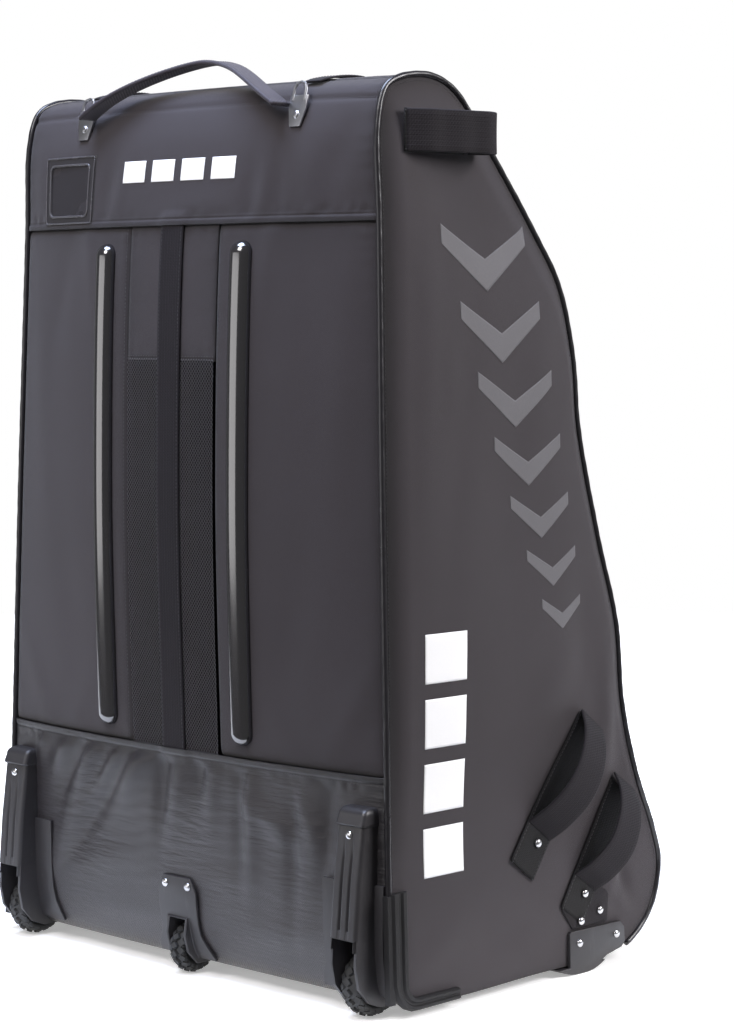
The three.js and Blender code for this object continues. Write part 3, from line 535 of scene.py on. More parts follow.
# Boot
# The lower part of the wheel panel is a coated black nylon, tougher and shinier than the cloth above.
# It is sewn on slack, so it hangs in slanting folds under its top seam and is finely rippled lower down.
BOOT_TOP = 264
STRAP_WIDTH, WEBBING = 38, 2.4
HEM_RISE, HEM_WIDE = 1.6, 7.5
BOOT_STITCH, BOOT_SEAM_HALF = 9, 306
# painted shade near the edges of shell panels: pairs of darkness and reach
PANEL_SHADE = [(0.35, 2.5), (0.36, 15)]
RIPPLE, RIPPLED_FROM, RIPPLED_TO = 0.35, (60, 110), (190, 240)
BOOT_FOLDS = [
    (-252, 242, 24, 26, 11, 5),
    (-206, 240, 38, 34, 13, 8),
    (-182, 222, 38, 46, 11, -5),
    (-160, 230, 40, 44, 14, 9),
    (-136, 222, 40, 46, 10, -5),
    (-116, 228, 41, 50, 14, 9),
    (-138, 184, 41, 88, 14, -8),
    (-72, 228, 40, 48, 17, 11),
    (-26, 214, 8, 52, 10, -7),
    (4, 222, 14, 48, 15, 6),
    (40, 236, 12, 24, 9, -4),
    (62, 224, 8, 44, 13, 4),
    (104, 204, 3, 66, 9, -3.6),
    (122, 196, 2, 76, 12, 4),
    (150, 200, -62, 60, 16, 4.5),
    (186, 170, 2, 80, 11, -4),
    (210, 205, -30, 40, 14, 3.6),
    (236, 190, 6, 60, 12, -3.6),
    (-196, 150, 30, 70, 20, 5),
    (-150, 110, 76, 90, 16, 2.6),
    (60, 120, 84, 100, 14, 2),
    (150, 70, 80, 80, 16, 2.6),
    (-90, 60, 86, 90, 14, 2),
]
# room for the wheels: middle, half width, depth from the rear, top
WHEEL_ROOM = [(0, 17.4, 42, 70), (286, 20.4, 51, 96)]


def wall(outer, thick, keep=None):
    """Points, faces and grid numbers of a closed cloth wall, from a grid of points on its outside."""
    rows, cols = outer.shape[:2]
    normal = unit(np.cross(np.gradient(outer, axis=1), np.gradient(outer, axis=0)))
    points = np.concatenate([outer.reshape(-1, 3), (outer - normal * thick).reshape(-1, 3)])
    number = np.arange(rows * cols).reshape(rows, cols)
    cells = np.stack([number[:-1, :-1], number[:-1, 1:], number[1:, 1:], number[1:, :-1]], -1)
    keep = np.ones(cells.shape[:2], bool) if keep is None else keep
    beside = np.pad(keep, 1)
    faces = [cells[keep], cells[keep][:, ::-1] + rows * cols]
    for k, (down, right) in enumerate(((-1, 0), (0, 1), (1, 0), (0, -1))):
        edge = keep & ~beside[1 + down:rows + down, 1 + right:cols + right]
        start, end = cells[edge][:, k], cells[edge][:, (k + 1) % 4]
        faces.append(np.stack([end, start, start + rows * cols, end + rows * cols], -1))
    used, faces = np.unique(np.concatenate(faces), return_inverse=True)
    return points[used], faces.reshape(-1, 4).tolist(), used % (rows * cols)


def hem(distance, x):
    """A hem sewn flat over the next panel and the vent's strap: a puckered lip over sunk stitches."""
    wave = np.sin(x / 3.3 + 1.9 * np.sin(x / 14)) + 0.7 * np.sin(x / 7.9 + 1)
    lip = HEM_RISE * (1 - ease(distance, HEM_WIDE - 1, HEM_WIDE + 4))
    sunk = 1.5 * np.exp(-((distance - HEM_WIDE) / 1.5) ** 2)
    pucker = 0.45 * wave * np.exp(-((distance - HEM_WIDE - 5) / 6) ** 2)
    on_strap = (1 - ease(np.abs(x), STRAP_WIDTH / 2, STRAP_WIDTH / 2 + 9)) * (1 - ease(distance, 8, 20))
    return lip - sunk + pucker + WEBBING * on_strap


def seams(edges, drop=2.0, pucker=0.4, turn=6):
    """Cloth turned down into the seams along a panel's edges, with the small puckers that thread draws."""
    rise = 0
    for distance, run in edges:
        away = np.clip(distance / turn, 0, 1)
        wave = np.sin(run / 2.9 + 1.7 * np.sin(run / 11.3)) + 0.6 * np.sin(run / 6.3 + 2)
        rise = rise - drop * (1 - np.sqrt(1 - (1 - away) ** 2))
        rise = rise + pucker * away * wave * np.exp(-distance / 10)
    return rise


def nearest(edges):
    return np.minimum.reduce([distance for distance, _ in edges])


def to_piping(sign):
    return lambda z: sign * (half_width(z) - TUCK)


def steady(x):
    return lambda z: x + 0 * z


def shell_panel(name, start, end, steps, relief, left=to_piping(-1), right=to_piping(1), thick=CLOTH,
                drop=None):
    """A cloth wall over a stretch of the shell, from a grid with a number of steps along and across.

    Relief gives its lift, and drop the cells left out. Relief has the distance from the left, right, lower
    and upper edge, each with the run along that edge."""
    length = run_at(end) - run_at(start)
    up = graded(steps[0])[:, None] * length
    index = onward(start, up)
    z = outline(index)[0][..., 1]
    low, high = left(z), right(z)
    x = low + (high - low) * graded(steps[1])
    up = up + 0 * x
    edges = ((x - low, up), (high - x, up), (up, x), (length - up, x))
    outer = shell(index, x, relief(x, z + 0 * x, edges))
    keep = None if drop is None else ~drop((outer[:-1, :-1] + outer[1:, 1:]) / 2)
    points, faces, grid = wall(outer, thick, keep)
    # painted shade, darker towards the panel's edges
    shade = painted_seam_shade(nearest(edges), PANEL_SHADE)
    return make(name, points, faces, np.stack([x, up], -1).reshape(-1, 2)[grid], shade=shade.ravel()[grid])


def boot_relief(x, z, edges):
    slack = folds(x, z, BOOT_FOLDS) * ease(BOOT_TOP - z, 4, 22)
    ripple = RIPPLE * np.sin(z / 2.6 + 1.6 * np.sin(x / 23) + 0.8 * np.sin(x / 9.1 + z / 40))
    here = ease(z, *RIPPLED_FROM) * (1 - ease(z, *RIPPLED_TO))
    return seams(edges[:3], drop=3, pucker=0.7, turn=9) + hem(*edges[3]) + slack + ripple * here


def in_wheel_room(points):
    x, y, z = np.moveaxis(points, -1, 0)
    inside = np.zeros(x.shape, bool)
    for middle, half, depth, top in WHEEL_ROOM:
        inside |= (np.abs(np.abs(x) - middle) < half) & (y < depth) & (z < top)
    return inside


def nylon_ripples(tree, place, normal):
    """Short fine sideways ripples, here and there, in slack coated cloth."""
    stretched = node(tree, "ShaderNodeMapping", {"Vector": place, "Scale": (16, 16, 120)}).outputs[0]
    here = remap(tree, noise(tree, place, 9, 1), 0.4, 0.62)
    height = math_node(tree, "MULTIPLY", noise(tree, stretched, 2.0, 3), here)
    return bumped(tree, height, 0.6, 2.6, normal)


coated_nylon = cloth(
    "coated_nylon", (0.0192, 0.0167, 0.019), 0.3, (700, 700), 0.3, sheen=0.03, shine=0.5,
    extra=nylon_ripples)
boot = shell_panel(
    "boot_cloth", row("base_rear"), rear_at(BOOT_TOP), (96, 190), boot_relief, drop=in_wheel_room)
fit(boot, coated_nylon, "boot_cloth", "rear_boot")


def across_line(z, lift, half, count=240):
    """A line of thread across the wheel panel at a height."""
    return shell(rear_at(z), np.linspace(-half, half, count), lift)


def up_line(x, bottom, top, lift, count=160):
    """A line of thread up the wheel panel."""
    return shell(rear_at(np.linspace(bottom, top, count)), x, lift)


thread_lines.append(across_line(BOOT_TOP - BOOT_STITCH, 1.2, BOOT_SEAM_HALF))

# Wheel-panel fields
# Two pieces of charcoal cloth beside the vent, drawn tight over a stiff back between boot and yoke.
# They pucker a little where the seams and the rails pull them.
YOKE_BOTTOM = 860
VENT_HALF = 74
FIELD_FOLDS = [
    (150, 820, 8, 60, 14, 1.6),
    (205, 790, -14, 70, 18, -1.4),
    (255, 700, 4, 160, 22, 1.5),
    (190, 420, 10, 110, 26, -1.4),
    (270, 330, 30, 70, 18, 1.6),
    (170, 300, -30, 40, 16, 1.2),
]


def field_relief(x, z, edges):
    return seams(edges, drop=3.6, pucker=0.5, turn=15) + folds(np.abs(x), z, FIELD_FOLDS)


for side, sign in SIDES.items():
    left, right = (steady(sign * VENT_HALF), to_piping(sign))[::sign]
    field = shell_panel(
        f"field_cloth_{side}", rear_at(BOOT_TOP), rear_at(YOKE_BOTTOM), (130, 56), field_relief, left,
        right)
    fit(field, charcoal_cloth, "shell_cloth", f"rear_panel_{side}")
    thread_lines.append(up_line(sign * (VENT_HALF + 5), BOOT_TOP + 4, YOKE_BOTTOM - 4, 0.1))

# Vent
# A strip of black knotted net lets wet gear dry; above it the strip is closed by a flap of charcoal cloth.
# The net is made strand by strand: zigzag cords whose corners meet in open diamonds.
MESH_TOP = 707
NET_CELL, NET_ROW, NET_CORD = 4.2, 2.7, 0.42


def close_tree(tree, given, result, geometry, smooth=False):
    """Ends a geometry tree: one whole mesh in the material that the tree is given."""
    whole = node(tree, "GeometryNodeRealizeInstances", {"Geometry": geometry}).outputs[0]
    if smooth:
        whole = node(tree, "GeometryNodeSetShadeSmooth", {"Geometry": whole}).outputs[0]
    painted = node(tree, "GeometryNodeSetMaterial", {"Geometry": whole, "Material": given["Material"]})
    feed(result, {"Geometry": painted.outputs[0]})


def geometry_tree(name, inputs):
    """A group of geometry nodes, which is given a guide and a material too."""
    inputs = {"Geometry": "Geometry", **inputs, "Material": "Material"}
    return group_tree(name, "GeometryNodeTree", inputs, {"Geometry": "Geometry"})


net_strands, given, result = geometry_tree("net_strands", {"Cord radius": "Float"})
strands = node(net_strands, "GeometryNodeMeshToCurve", {"Mesh": given["Geometry"]})
section = node(net_strands, "GeometryNodeCurvePrimitiveCircle", {
    "Resolution": 3, "Radius": given["Cord radius"]})
cords = node(net_strands, "GeometryNodeCurveToMesh", {
    "Curve": strands.outputs["Curve"], "Profile Curve": section.outputs["Curve"], "Fill Caps": True})
close_tree(net_strands, given, result, cords.outputs["Mesh"])


def guide(name, lines, **vectors):
    """A mesh of bare lines, or of lines of one point each, for a node tree, with vectors at its points."""
    points = np.concatenate(lines)
    ends = set(np.cumsum([len(line) for line in lines]).tolist())
    links = [(k, k + 1) for k in range(len(points) - 1) if k + 1 not in ends]
    mesh = bpy.data.meshes.new(name)
    mesh.from_pydata(((points - (0, DEPTH_MIDDLE, 0)) * MM).tolist(), links, [])
    for label, values in vectors.items():
        layer = mesh.attributes.new(label, "FLOAT_VECTOR", "POINT")
        layer.data.foreach_set("vector", np.asarray(values, np.float32).ravel())
    return link(name, mesh)


def settle(piece):
    """Keeps what a piece's modifiers make as its plain mesh."""
    depsgraph = bpy.context.evaluated_depsgraph_get()
    piece.data = bpy.data.meshes.new_from_object(piece.evaluated_get(depsgraph))
    piece.modifiers.clear()
    piece.data.name = piece.name
    return piece


def grow(piece, tree, values):
    """Runs a node tree on a guide and keeps what it makes."""
    modifier = piece.modifiers.new("grow", "NODES")
    modifier.node_group = tree
    for item in tree.interface.items_tree:
        if item.in_out == "INPUT" and item.name in values:
            modifier[item.identifier] = values[item.name]
    return settle(piece)


net_cord = grain("net_cord", (0.12, 0.113, 0.12), 0.5, 900, 0.1, scuff=0.0)
net_x = np.arange(-VENT_HALF + 1, VENT_HALF - 0.5, NET_CELL / 2)
net_lines = []
for k, z in enumerate(np.arange(BOOT_TOP + 1, MESH_TOP + 3, NET_ROW)):
    zigzag = np.where(np.arange(len(net_x)) % 2 == k % 2, 0.5, -0.5) * (NET_ROW - 0.1)
    net_lines.append(shell(rear_at(z + zigzag), net_x, -0.5))
net = grow(guide("vent_net", net_lines), net_strands, {"Cord radius": NET_CORD * MM, "Material": net_cord})
fit(net, None, "vent_net", "vent_mesh")


def flap_relief(x, z, edges):
    return seams(edges, drop=1.4) - 0.8


flap = shell_panel(
    "vent_flap_cloth", rear_at(MESH_TOP), rear_at(YOKE_BOTTOM), (50, 44), flap_relief, steady(-VENT_HALF),
    steady(VENT_HALF))
fit(flap, charcoal_cloth, "shell_cloth", "vent_flap")
thread_lines.append(across_line(MESH_TOP + 5, -0.6, VENT_HALF - 3, 80))

# Webbing
# Black ribbed nylon webbing, woven flat with rounded selvedges; here one strap runs down the vent's middle.
# The same webbing makes the loops, the tabs and the straps, so its section and weave are set up here.
EDGE_STITCH = 3


def edge_rows(width):
    """Places across a strap of the two rows of thread beside its selvedges."""
    return EDGE_STITCH - width / 2, width / 2 - EDGE_STITCH


def strap(name, path, out, width, thick, across=None, side=1, sag=0.0):
    """A strap with rounded edges along a path, its underside on the path and out away from it."""
    out = unit(np.asarray(out, float))
    if across is None:
        across = unit(np.cross(out, unit(np.gradient(path, axis=0))))
    corner = thick / 2
    half = width / 2 - corner
    turn = np.radians(np.linspace(-90, 90, 5))
    flat = np.linspace(-1, 1, 9)[1:-1]
    right = np.column_stack([half + corner * np.cos(turn), corner + corner * np.sin(turn)])
    top = np.column_stack([-half * flat, thick - sag * (1 - flat * flat)])
    bottom = np.column_stack([half * flat, 0 * flat])
    section = np.vstack([right, top, (0, thick) - right, bottom])
    aside = np.broadcast_to(across, path.shape)
    rings = path[:, None] + section[:, :1] * aside[:, None] + section[:, 1:] * out[:, None]
    run = run_along(path)
    uv = np.stack(np.broadcast_arrays(section[:, 0], run[:, None]), -1).reshape(-1, 2)
    return make(name, *loft(rings), np.concatenate([uv, [[0, run[0]], [0, run[-1]]]]), side)


def strap_ribs(tree, place, normal):
    """Lengthwise ribs of heavy webbing."""
    flat = node(tree, "ShaderNodeUVMap", uv_map="cloth").outputs["UV"]
    ribs = node(tree, "ShaderNodeTexWave", {
        "Vector": flat, "Scale": 75, "Distortion": 0.8, "Detail": 1}, bands_direction="X")
    return bumped(tree, ribs.outputs["Fac"], 0.3, 0.3, normal)


ribbed = partial(cloth, threads=(420, 560), relief=0.5, extra=strap_ribs)
webbing = ribbed("webbing", (0.0122, 0.0102, 0.0125), 0.75, sheen=0.05, shine=0.15)
vent_index = np.linspace(rear_at(BOOT_TOP - 5), rear_at(YOKE_BOTTOM + 5), 120)
vent_path = shell(vent_index, np.zeros(120), 0.2)
vent_strap = strap("vent_strap", vent_path, outward(vent_index), STRAP_WIDTH, WEBBING, (1, 0, 0))
fit(vent_strap, webbing, "webbing", "vent_webbing")
for x in edge_rows(STRAP_WIDTH):
    thread_lines.append(up_line(x, BOOT_TOP + 4, YOKE_BOTTOM - 4, WEBBING + 0.25))

# Yoke
# The top of the wheel panel is charcoal cloth over thin foam, which rolls over the bag's top edge.
# It is sewn through once under the roll, and dents softly above the rails and beside the name pocket.
YOKE_ROLL = 992
YOKE_STITCH, YOKE_SEAM_HALF = 6, 284
YOKE_FOLDS = [
    (-120, 905, 12, 40, 14, -1.8),
    (-104, 890, 12, 36, 10, 1.2),
    (118, 890, 4, 46, 12, -1.8),
    (140, 888, 3, 44, 10, 1.6),
    (160, 890, 2, 44, 10, -1.4),
    (206, 900, -10, 50, 18, 1.6),
    (-262, 900, 0, 60, 14, 1.4),
    (20, 880, 84, 60, 14, 1.2),
    (250, 940, 30, 50, 20, -1.6),
]


def yoke_relief(x, z, edges):
    up = edges[2][0]
    sewn = up - run_at(rear_at(YOKE_ROLL)) + run_at(rear_at(YOKE_BOTTOM))
    channel = -2.0 * np.exp(-(sewn / 2.6) ** 2) + 0.8 * np.exp(-((sewn - 12) / 9) ** 2)
    sewn_in = seams(edges[:2], drop=3.2, pucker=0.6, turn=11) + seams(edges[3:]) + hem(*edges[2])
    return sewn_in + folds(x, z, YOKE_FOLDS) * ease(up, 0, 14) + channel


yoke = shell_panel(
    "yoke_padding", rear_at(YOKE_BOTTOM), row("top_seam"), (96, 150), yoke_relief, thick=5)
fit(yoke, charcoal_cloth, "shell_cloth", "rear_yoke")
thread_lines.append(across_line(YOKE_BOTTOM + YOKE_STITCH, 0.2, YOKE_SEAM_HALF))
thread_lines.append(across_line(YOKE_ROLL, -1.6, YOKE_SEAM_HALF))

# Top, front and base
# The top and the sloping front are one charcoal cloth with a seam between them; the base is coated nylon.
# The front is slack over the gear, with long swells that run down from the brow to the toe.
FRONT_FOLDS = [
    (-120, 700, 6, 120, 40, 3),
    (90, 640, -8, 140, 44, 3),
    (-30, 420, 4, 120, 40, -3),
    (180, 380, 10, 120, 36, 3),
    (-190, 340, -8, 110, 34, 3),
    (40, 240, 80, 120, 22, 3),
    (-120, 180, 84, 90, 18, -2.5),
    (140, 150, 78, 90, 18, 2.5),
    (-150, 575, 62, 70, 15, 3.6),
    (-60, 548, 80, 90, 14, -3),
    (150, 600, -58, 80, 15, 3.6),
    (60, 470, -76, 90, 16, 3),
    (-185, 260, 40, 60, 14, 4),
    (190, 270, -42, 60, 14, 4),
    (-80, 300, -84, 100, 15, 3),
    (-130, 786, 70, 70, 15, 3),
    (120, 800, -74, 80, 15, 3),
]


def plain_relief(x, z, edges):
    return seams(edges)


def front_relief(x, z, edges):
    return seams(edges) + folds(x, z, FRONT_FOLDS)


top = shell_panel("top_cloth", row("top_seam"), row("top_front"), (34, 120), plain_relief)
fit(top, charcoal_cloth, "shell_cloth", "top_panel")
front = shell_panel("front_cloth", row("top_front"), row("toe_under"), (200, 90), front_relief)
fit(front, charcoal_cloth, "shell_cloth", "front_panel")
base = shell_panel("base_cloth", row("toe_under"), ROW_COUNT, (60, 90), plain_relief, drop=in_wheel_room)
fit(base, coated_nylon, "boot_cloth", "base_panel")
top_x = np.linspace(-YOKE_SEAM_HALF, YOKE_SEAM_HALF, 220)
for seam in ("top_seam", "top_front"):
    thread_lines.append(shell(onward(row(seam), 5), top_x, 0.2))

# Rails
# Two black semi-gloss plastic bars, half-round with rounded ends, riveted through the wheel panel.
# They let the bag slide over kerbs and stairs, so their crests are lightly scratched along their length.
RAIL_X, RAIL_HALF, RAIL_RISE = 114, 14, 14.5
RAIL_LOW, RAIL_HIGH, RAIL_ROUND, RAIL_END, RAIL_SINK = 279, 841, 14, 24, 0.4

rail_plastic = grain(
    "rail_plastic", (0.011, 0.01, 0.012), 0.15, 700, 0.03, scuff=0.05, patchy=0.1, shine=1.0)
feed(rail_plastic.node_tree.nodes["Principled BSDF"], {"IOR": 1.78})
ends = RAIL_ROUND * (1 - np.cos(np.linspace(0.12, 1, 12) * np.pi / 2))
rail_z = np.concatenate([
    RAIL_LOW + ends, np.linspace(RAIL_LOW + RAIL_END, RAIL_HIGH - RAIL_END, 50), RAIL_HIGH - ends[::-1]])
inset = np.minimum(rail_z - RAIL_LOW, RAIL_HIGH - rail_z)
rail_scale = np.sqrt(1 - (1 - np.clip(inset / RAIL_ROUND, 0, 1)) ** 2)
turn = np.linspace(0, np.pi, 25)
rail_section = np.column_stack([RAIL_HALF * np.cos(turn), RAIL_RISE * np.sin(turn) ** 0.85])
rail_rings = np.array([
    shell(rear_at(z), RAIL_X + rail_section[:, 0] * scale, rail_section[:, 1] * scale - RAIL_SINK)
    for z, scale in zip(rail_z, rail_scale)])
for side, sign in SIDES.items():
    rail = make(f"rail_{side}", *loft(rail_rings), side=sign)
    fit(rail, rail_plastic, "rail_plastic", f"rear_rail_{side}")

# Hard corners
# Wheel housings, corner guards and front feet are black fine-grained mouldings riveted to the cloth.
# Their shapes are the frame's own, with flat faces joined and every edge rounded as a mould leaves it.
moulded_plastic = grain("moulded_plastic", (0.022, 0.0205, 0.0226), 0.43, 1100, 0.12, scuff=0.2, shine=0.5)
guard_plastic = grain("guard_plastic", (0.011, 0.0105, 0.0113), 0.56, 1100, 0.12, scuff=0.1, shine=0.28)
MERGE_WITHIN, FLAT_ANGLE, SHARP_ANGLE, ROUND_STEPS = 0.02, 0.6, 35, 4
# node: how far its edges are rounded, finish
MOULDED = {
    "wheel_housing_left": (3.2, moulded_plastic), "wheel_housing_right": (3.2, moulded_plastic),
    "wheel_housing_middle": (1.8, moulded_plastic),
    "corner_guard_left": (1.0, guard_plastic), "corner_guard_right": (1.0, guard_plastic),
    "front_foot_left": (1.4, moulded_plastic), "front_foot_right": (1.4, moulded_plastic),
}


def rounded_copy(node_name, piece_name, width, angle=24):
    """A copy of a frame piece with its doubles merged, its flat faces joined and its edges rounded."""
    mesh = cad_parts[node_name].data.copy()
    mesh.materials.clear()
    work = bmesh.new()
    work.from_mesh(mesh)
    bmesh.ops.remove_doubles(work, verts=work.verts, dist=MERGE_WITHIN * MM)
    bmesh.ops.dissolve_limit(work, angle_limit=math.radians(FLAT_ANGLE), verts=work.verts, edges=work.edges)
    work.to_mesh(mesh)
    work.free()
    piece = link(piece_name, mesh)
    bevel = piece.modifiers.new("rounding", "BEVEL")
    bevel.width = width * MM
    bevel.segments = ROUND_STEPS
    bevel.limit_method = "ANGLE"
    bevel.angle_limit = math.radians(angle)
    bevel.use_clamp_overlap = True
    settle(piece)
    piece.data.polygons.foreach_set("use_smooth", [True] * len(piece.data.polygons))
    piece.data.set_sharp_from_angle(angle=math.radians(SHARP_ANGLE))
    return piece


for node_name, (width, plastic) in MOULDED.items():
    moulding = rounded_copy(node_name, f"{node_name}_moulding", width)
    fit(moulding, plastic, "hard_plastic", node_name)

# Housing spines
# Each outer housing has a softly rounded bar with two grooves, moulded in one with it, under an overhanging
# cap with a domed top. A section is its height, its half width, its front face and the depth of its grooves.
SPINE_ROWS = [
    (91, 20.2, -43.5, 2.4), (150, 20.2, -38.6, 2.4), (178, 20, -35, 2.2), (192, 20, -33.2, 0),
    (210.5, 19.9, -30.9, 0), (212, 19.9, -30.6, 0), (213.2, 20.8, -32.8, 0), (214.6, 21.3, -33.6, 0),
    (216, 21.3, -33.2, 0), (223, 21, -30.2, 0)]
SPINE_X, SPINE_BACK, SPINE_CORNER = 286, -2, 5
DOME_HIGH, DOME_WIDE, DOME_DEEP = 9, 5, 10
GROOVE_X, GROOVE_WIDE = 6, 1.5
SPINE_SHARP = 42


def spine_ring(z, half, front, depth):
    """One section, seen from above: a grooved front between rounded corners, and a flat back."""
    flat = np.linspace(-1, 1, 41) * (half - SPINE_CORNER)
    dip = depth * sum(np.exp(-(((flat - at) / GROOVE_WIDE) ** 2)) for at in (-GROOVE_X, GROOVE_X))
    bend = np.linspace(0, np.pi / 2, 8)[1:]
    right = np.column_stack([
        half - SPINE_CORNER * (1 - np.sin(bend)), front + SPINE_CORNER * (1 - np.cos(bend))])
    back = [(half, SPINE_BACK), (-half, SPINE_BACK)]
    line = np.vstack([np.column_stack([flat, front + dip]), right, back, right[::-1] * (-1, 1)])
    return np.column_stack([SPINE_X + line[:, 0], line[:, 1], np.full(len(line), z)])


top_z, top_half, top_front, _ = SPINE_ROWS[-1]
dome_rows = [
    (top_z + DOME_HIGH * np.sin(bend), top_half - DOME_WIDE * (1 - np.cos(bend)),
     top_front + DOME_DEEP * (1 - np.cos(bend)), 0) for bend in np.linspace(0.2, 1.5, 9)]
spine_rings = np.array([spine_ring(*section) for section in SPINE_ROWS + dome_rows])
for side, sign in SIDES.items():
    spine = make(f"housing_spine_{side}", *loft(spine_rings), side=sign)
    spine.data.set_sharp_from_angle(angle=math.radians(SPINE_SHARP))
    fit(spine, moulded_plastic, "hard_plastic")

# Wheels
# Black rubber tyres with a knobbly tread on moulded hubs, which turn on pins between the housings' cheeks.
# The tread's blocks stand in three staggered rows and are set round the tyre by a node tree.
# place across the bag, radius, half width
WHEELS = {"left": (-286, 36, 14), "middle": (0, 30, 11), "right": (286, 36, 14)}
TYRE_STEPS, HUB_STEPS = 72, 48
TREAD, TREAD_BLOCKS = 3.2, 18
TREAD_FOOT, TREAD_TOP, TREAD_TALL, TREAD_STRETCH = 5.6, 4.6, TREAD + 1.2, (0.92, 1.0, 1.0)
TREAD_SINK, TREAD_DROP, TREAD_TILT = 2.8, 5.2, 0.9
# place across the tyre, share of a step round it, lean outwards
TREAD_ROWS = ((0.0, 0.0, 0.0), (0.62, 0.5, 0.5), (-0.62, 0.5, -0.5))


def noted(tree, label):
    """A vector that a guide's points carry."""
    return node(tree, "GeometryNodeInputNamedAttribute", {"Name": label},
                data_type="FLOAT_VECTOR").outputs["Attribute"]


def turned(tree, axis, vector, before=None, pivot="AUTO"):
    """A rotation that brings a piece's axis round to a vector, after another rotation."""
    inputs = {"Vector": vector} if before is None else {"Vector": vector, "Rotation": before}
    return node(tree, "FunctionNodeAlignRotationToVector", inputs, axis=axis,
                pivot_axis=pivot).outputs["Rotation"]


def set_on(tree, given, result, points, piece, rotation, scale, smooth):
    """Ends a geometry tree that sets a piece at each point."""
    placed = node(tree, "GeometryNodeInstanceOnPoints", {
        "Points": points, "Instance": piece, "Rotation": rotation, "Scale": scale})
    close_tree(tree, given, result, placed.outputs["Instances"], smooth)


set_pieces, given, result = geometry_tree("set_pieces", {
    "Sides": "Int", "Foot radius": "Float", "Top radius": "Float", "Height": "Float", "Stretch": "Vector"})
cone = node(set_pieces, "GeometryNodeMeshCone", {
    "Vertices": given["Sides"], "Radius Top": given["Top radius"], "Radius Bottom": given["Foot radius"],
    "Depth": given["Height"]})
upright = turned(set_pieces, "Z", noted(set_pieces, "aim"))
lying = turned(set_pieces, "X", noted(set_pieces, "lay"), upright, "Z")
set_on(set_pieces, given, result, given["Geometry"], cone.outputs["Mesh"], lying, given["Stretch"], False)


def turn_round(profile, x, z, steps):
    """A closed ring turned round a wheel's axle, from the right half of its profile of radius and offset."""
    turn = np.arange(steps) * 2 * np.pi / steps
    radius, offset = np.array(profile + [(r, -o) for r, o in reversed(profile)], float).T
    y = radius[None] * np.sin(turn)[:, None]
    up = z + radius[None] * np.cos(turn)[:, None]
    points = np.stack([np.broadcast_to(x + offset, y.shape), y, up], -1)
    number = np.arange(y.size).reshape(y.shape)
    ahead, beside = np.roll(number, -1, axis=0), np.roll(number, -1, axis=1)
    both = np.roll(ahead, -1, axis=1)
    return points, np.stack([number, ahead, both, beside], -1).reshape(-1, 4).tolist()


tyre_rubber = grain("tyre_rubber", (0.016, 0.016, 0.016), 0.62, 800, 0.15, scuff=0.2)
hub_plastic = grain("hub_plastic", (0.022, 0.022, 0.023), 0.45, 900, 0.08, scuff=0.15)
for side, (x, radius, half) in WHEELS.items():
    body = f"wheel_{side}"
    crown = radius - TREAD
    tyre_profile = [
        (radius - 14, half - 3), (radius - 10, half - 1), (radius - 6, half - 0.4), (crown - 0.5, half - 3),
        (crown, half - 7)]
    tyre = make(f"tyre_{side}", *turn_round(tyre_profile, x, radius, TYRE_STEPS))
    fit(tyre, tyre_rubber, "tyre", f"wheel_{side}", body=body)
    hub_profile = [
        (4.6, half - 2), (9, half - 2), (11, half - 4), (radius - 15, half - 5), (radius - 13.5, half - 3)]
    hub = make(f"hub_{side}", *turn_round(hub_profile, x, radius, HUB_STEPS))
    fit(hub, hub_plastic, "hard_plastic", body=body)
    points, aims, lays = [], [], []
    for offset, shift, lean in TREAD_ROWS:
        stand = crown + TREAD / 2 - TREAD_SINK - TREAD_DROP * abs(lean)
        for turn in (np.arange(TREAD_BLOCKS) + shift) * 2 * np.pi / TREAD_BLOCKS:
            points.append([(x + offset * half, np.sin(turn) * stand, radius + np.cos(turn) * stand)])
            aims.append(unit(np.array([lean * TREAD_TILT, np.sin(turn), np.cos(turn)])))
            lays.append((0, np.cos(turn), -np.sin(turn)))
    tread = grow(guide(f"tread_{side}", points, aim=aims, lay=lays), set_pieces, {
        "Sides": 4, "Foot radius": TREAD_FOOT * MM, "Top radius": TREAD_TOP * MM, "Height": TREAD_TALL * MM,
        "Stretch": TREAD_STRETCH, "Material": tyre_rubber})
    fit(tread, None, "tyre", body=body)

# Axle pins
# Plain bright steel pins pressed through the housings' cheeks, which show only beside the wheels.
# They are the frame's own pins, in their steel.
bright_steel = grain("bright_steel", (0.55, 0.55, 0.56), 0.26, 300, 0.04, scuff=0.0, metallic=1.0)
for side in WHEELS:
    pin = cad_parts[f"axle_{side}"]
    pin.data.materials.clear()
    pin.data.materials.append(bright_steel)

# Side loops
# Webbing grab loops riveted and sewn to each side: one near the top and two low down towards the front.
# Each is a base strap flat on the cloth, painted dark with the shade under the bow, and a bowed strap that a
# hand goes under.
LOOP_LIFT, LOOP_TAIL, LOOP_STITCH = 0.6, 10, 0.44
# ends on the side; the bow is distance along the loop and rise above the side
LOOPS = {
    "upper_side_handle": {
        "from": (36, 957), "to": (140, 957), "width": 47,
        "bow": [(3, 0.6), (26, 14), (46, 17.5), (66, 23.5), (86, 25.5), (105, 29.5), (121, 22), (118, 9),
                (103, 0.6)]},
    "lower_rear_handle": {
        "from": (207, 134), "to": (331, 299), "width": 48,
        "bow": [(52, 0.6), (74, 19), (108, 33), (144, 31), (176, 18), (198, 0.6)]},
    "lower_front_handle": {
        "from": (292, 69), "to": (392, 214), "width": 46,
        "bow": [(44, 0.6), (62, 18), (94, 32), (128, 30), (156, 17), (174, 0.6)]},
}


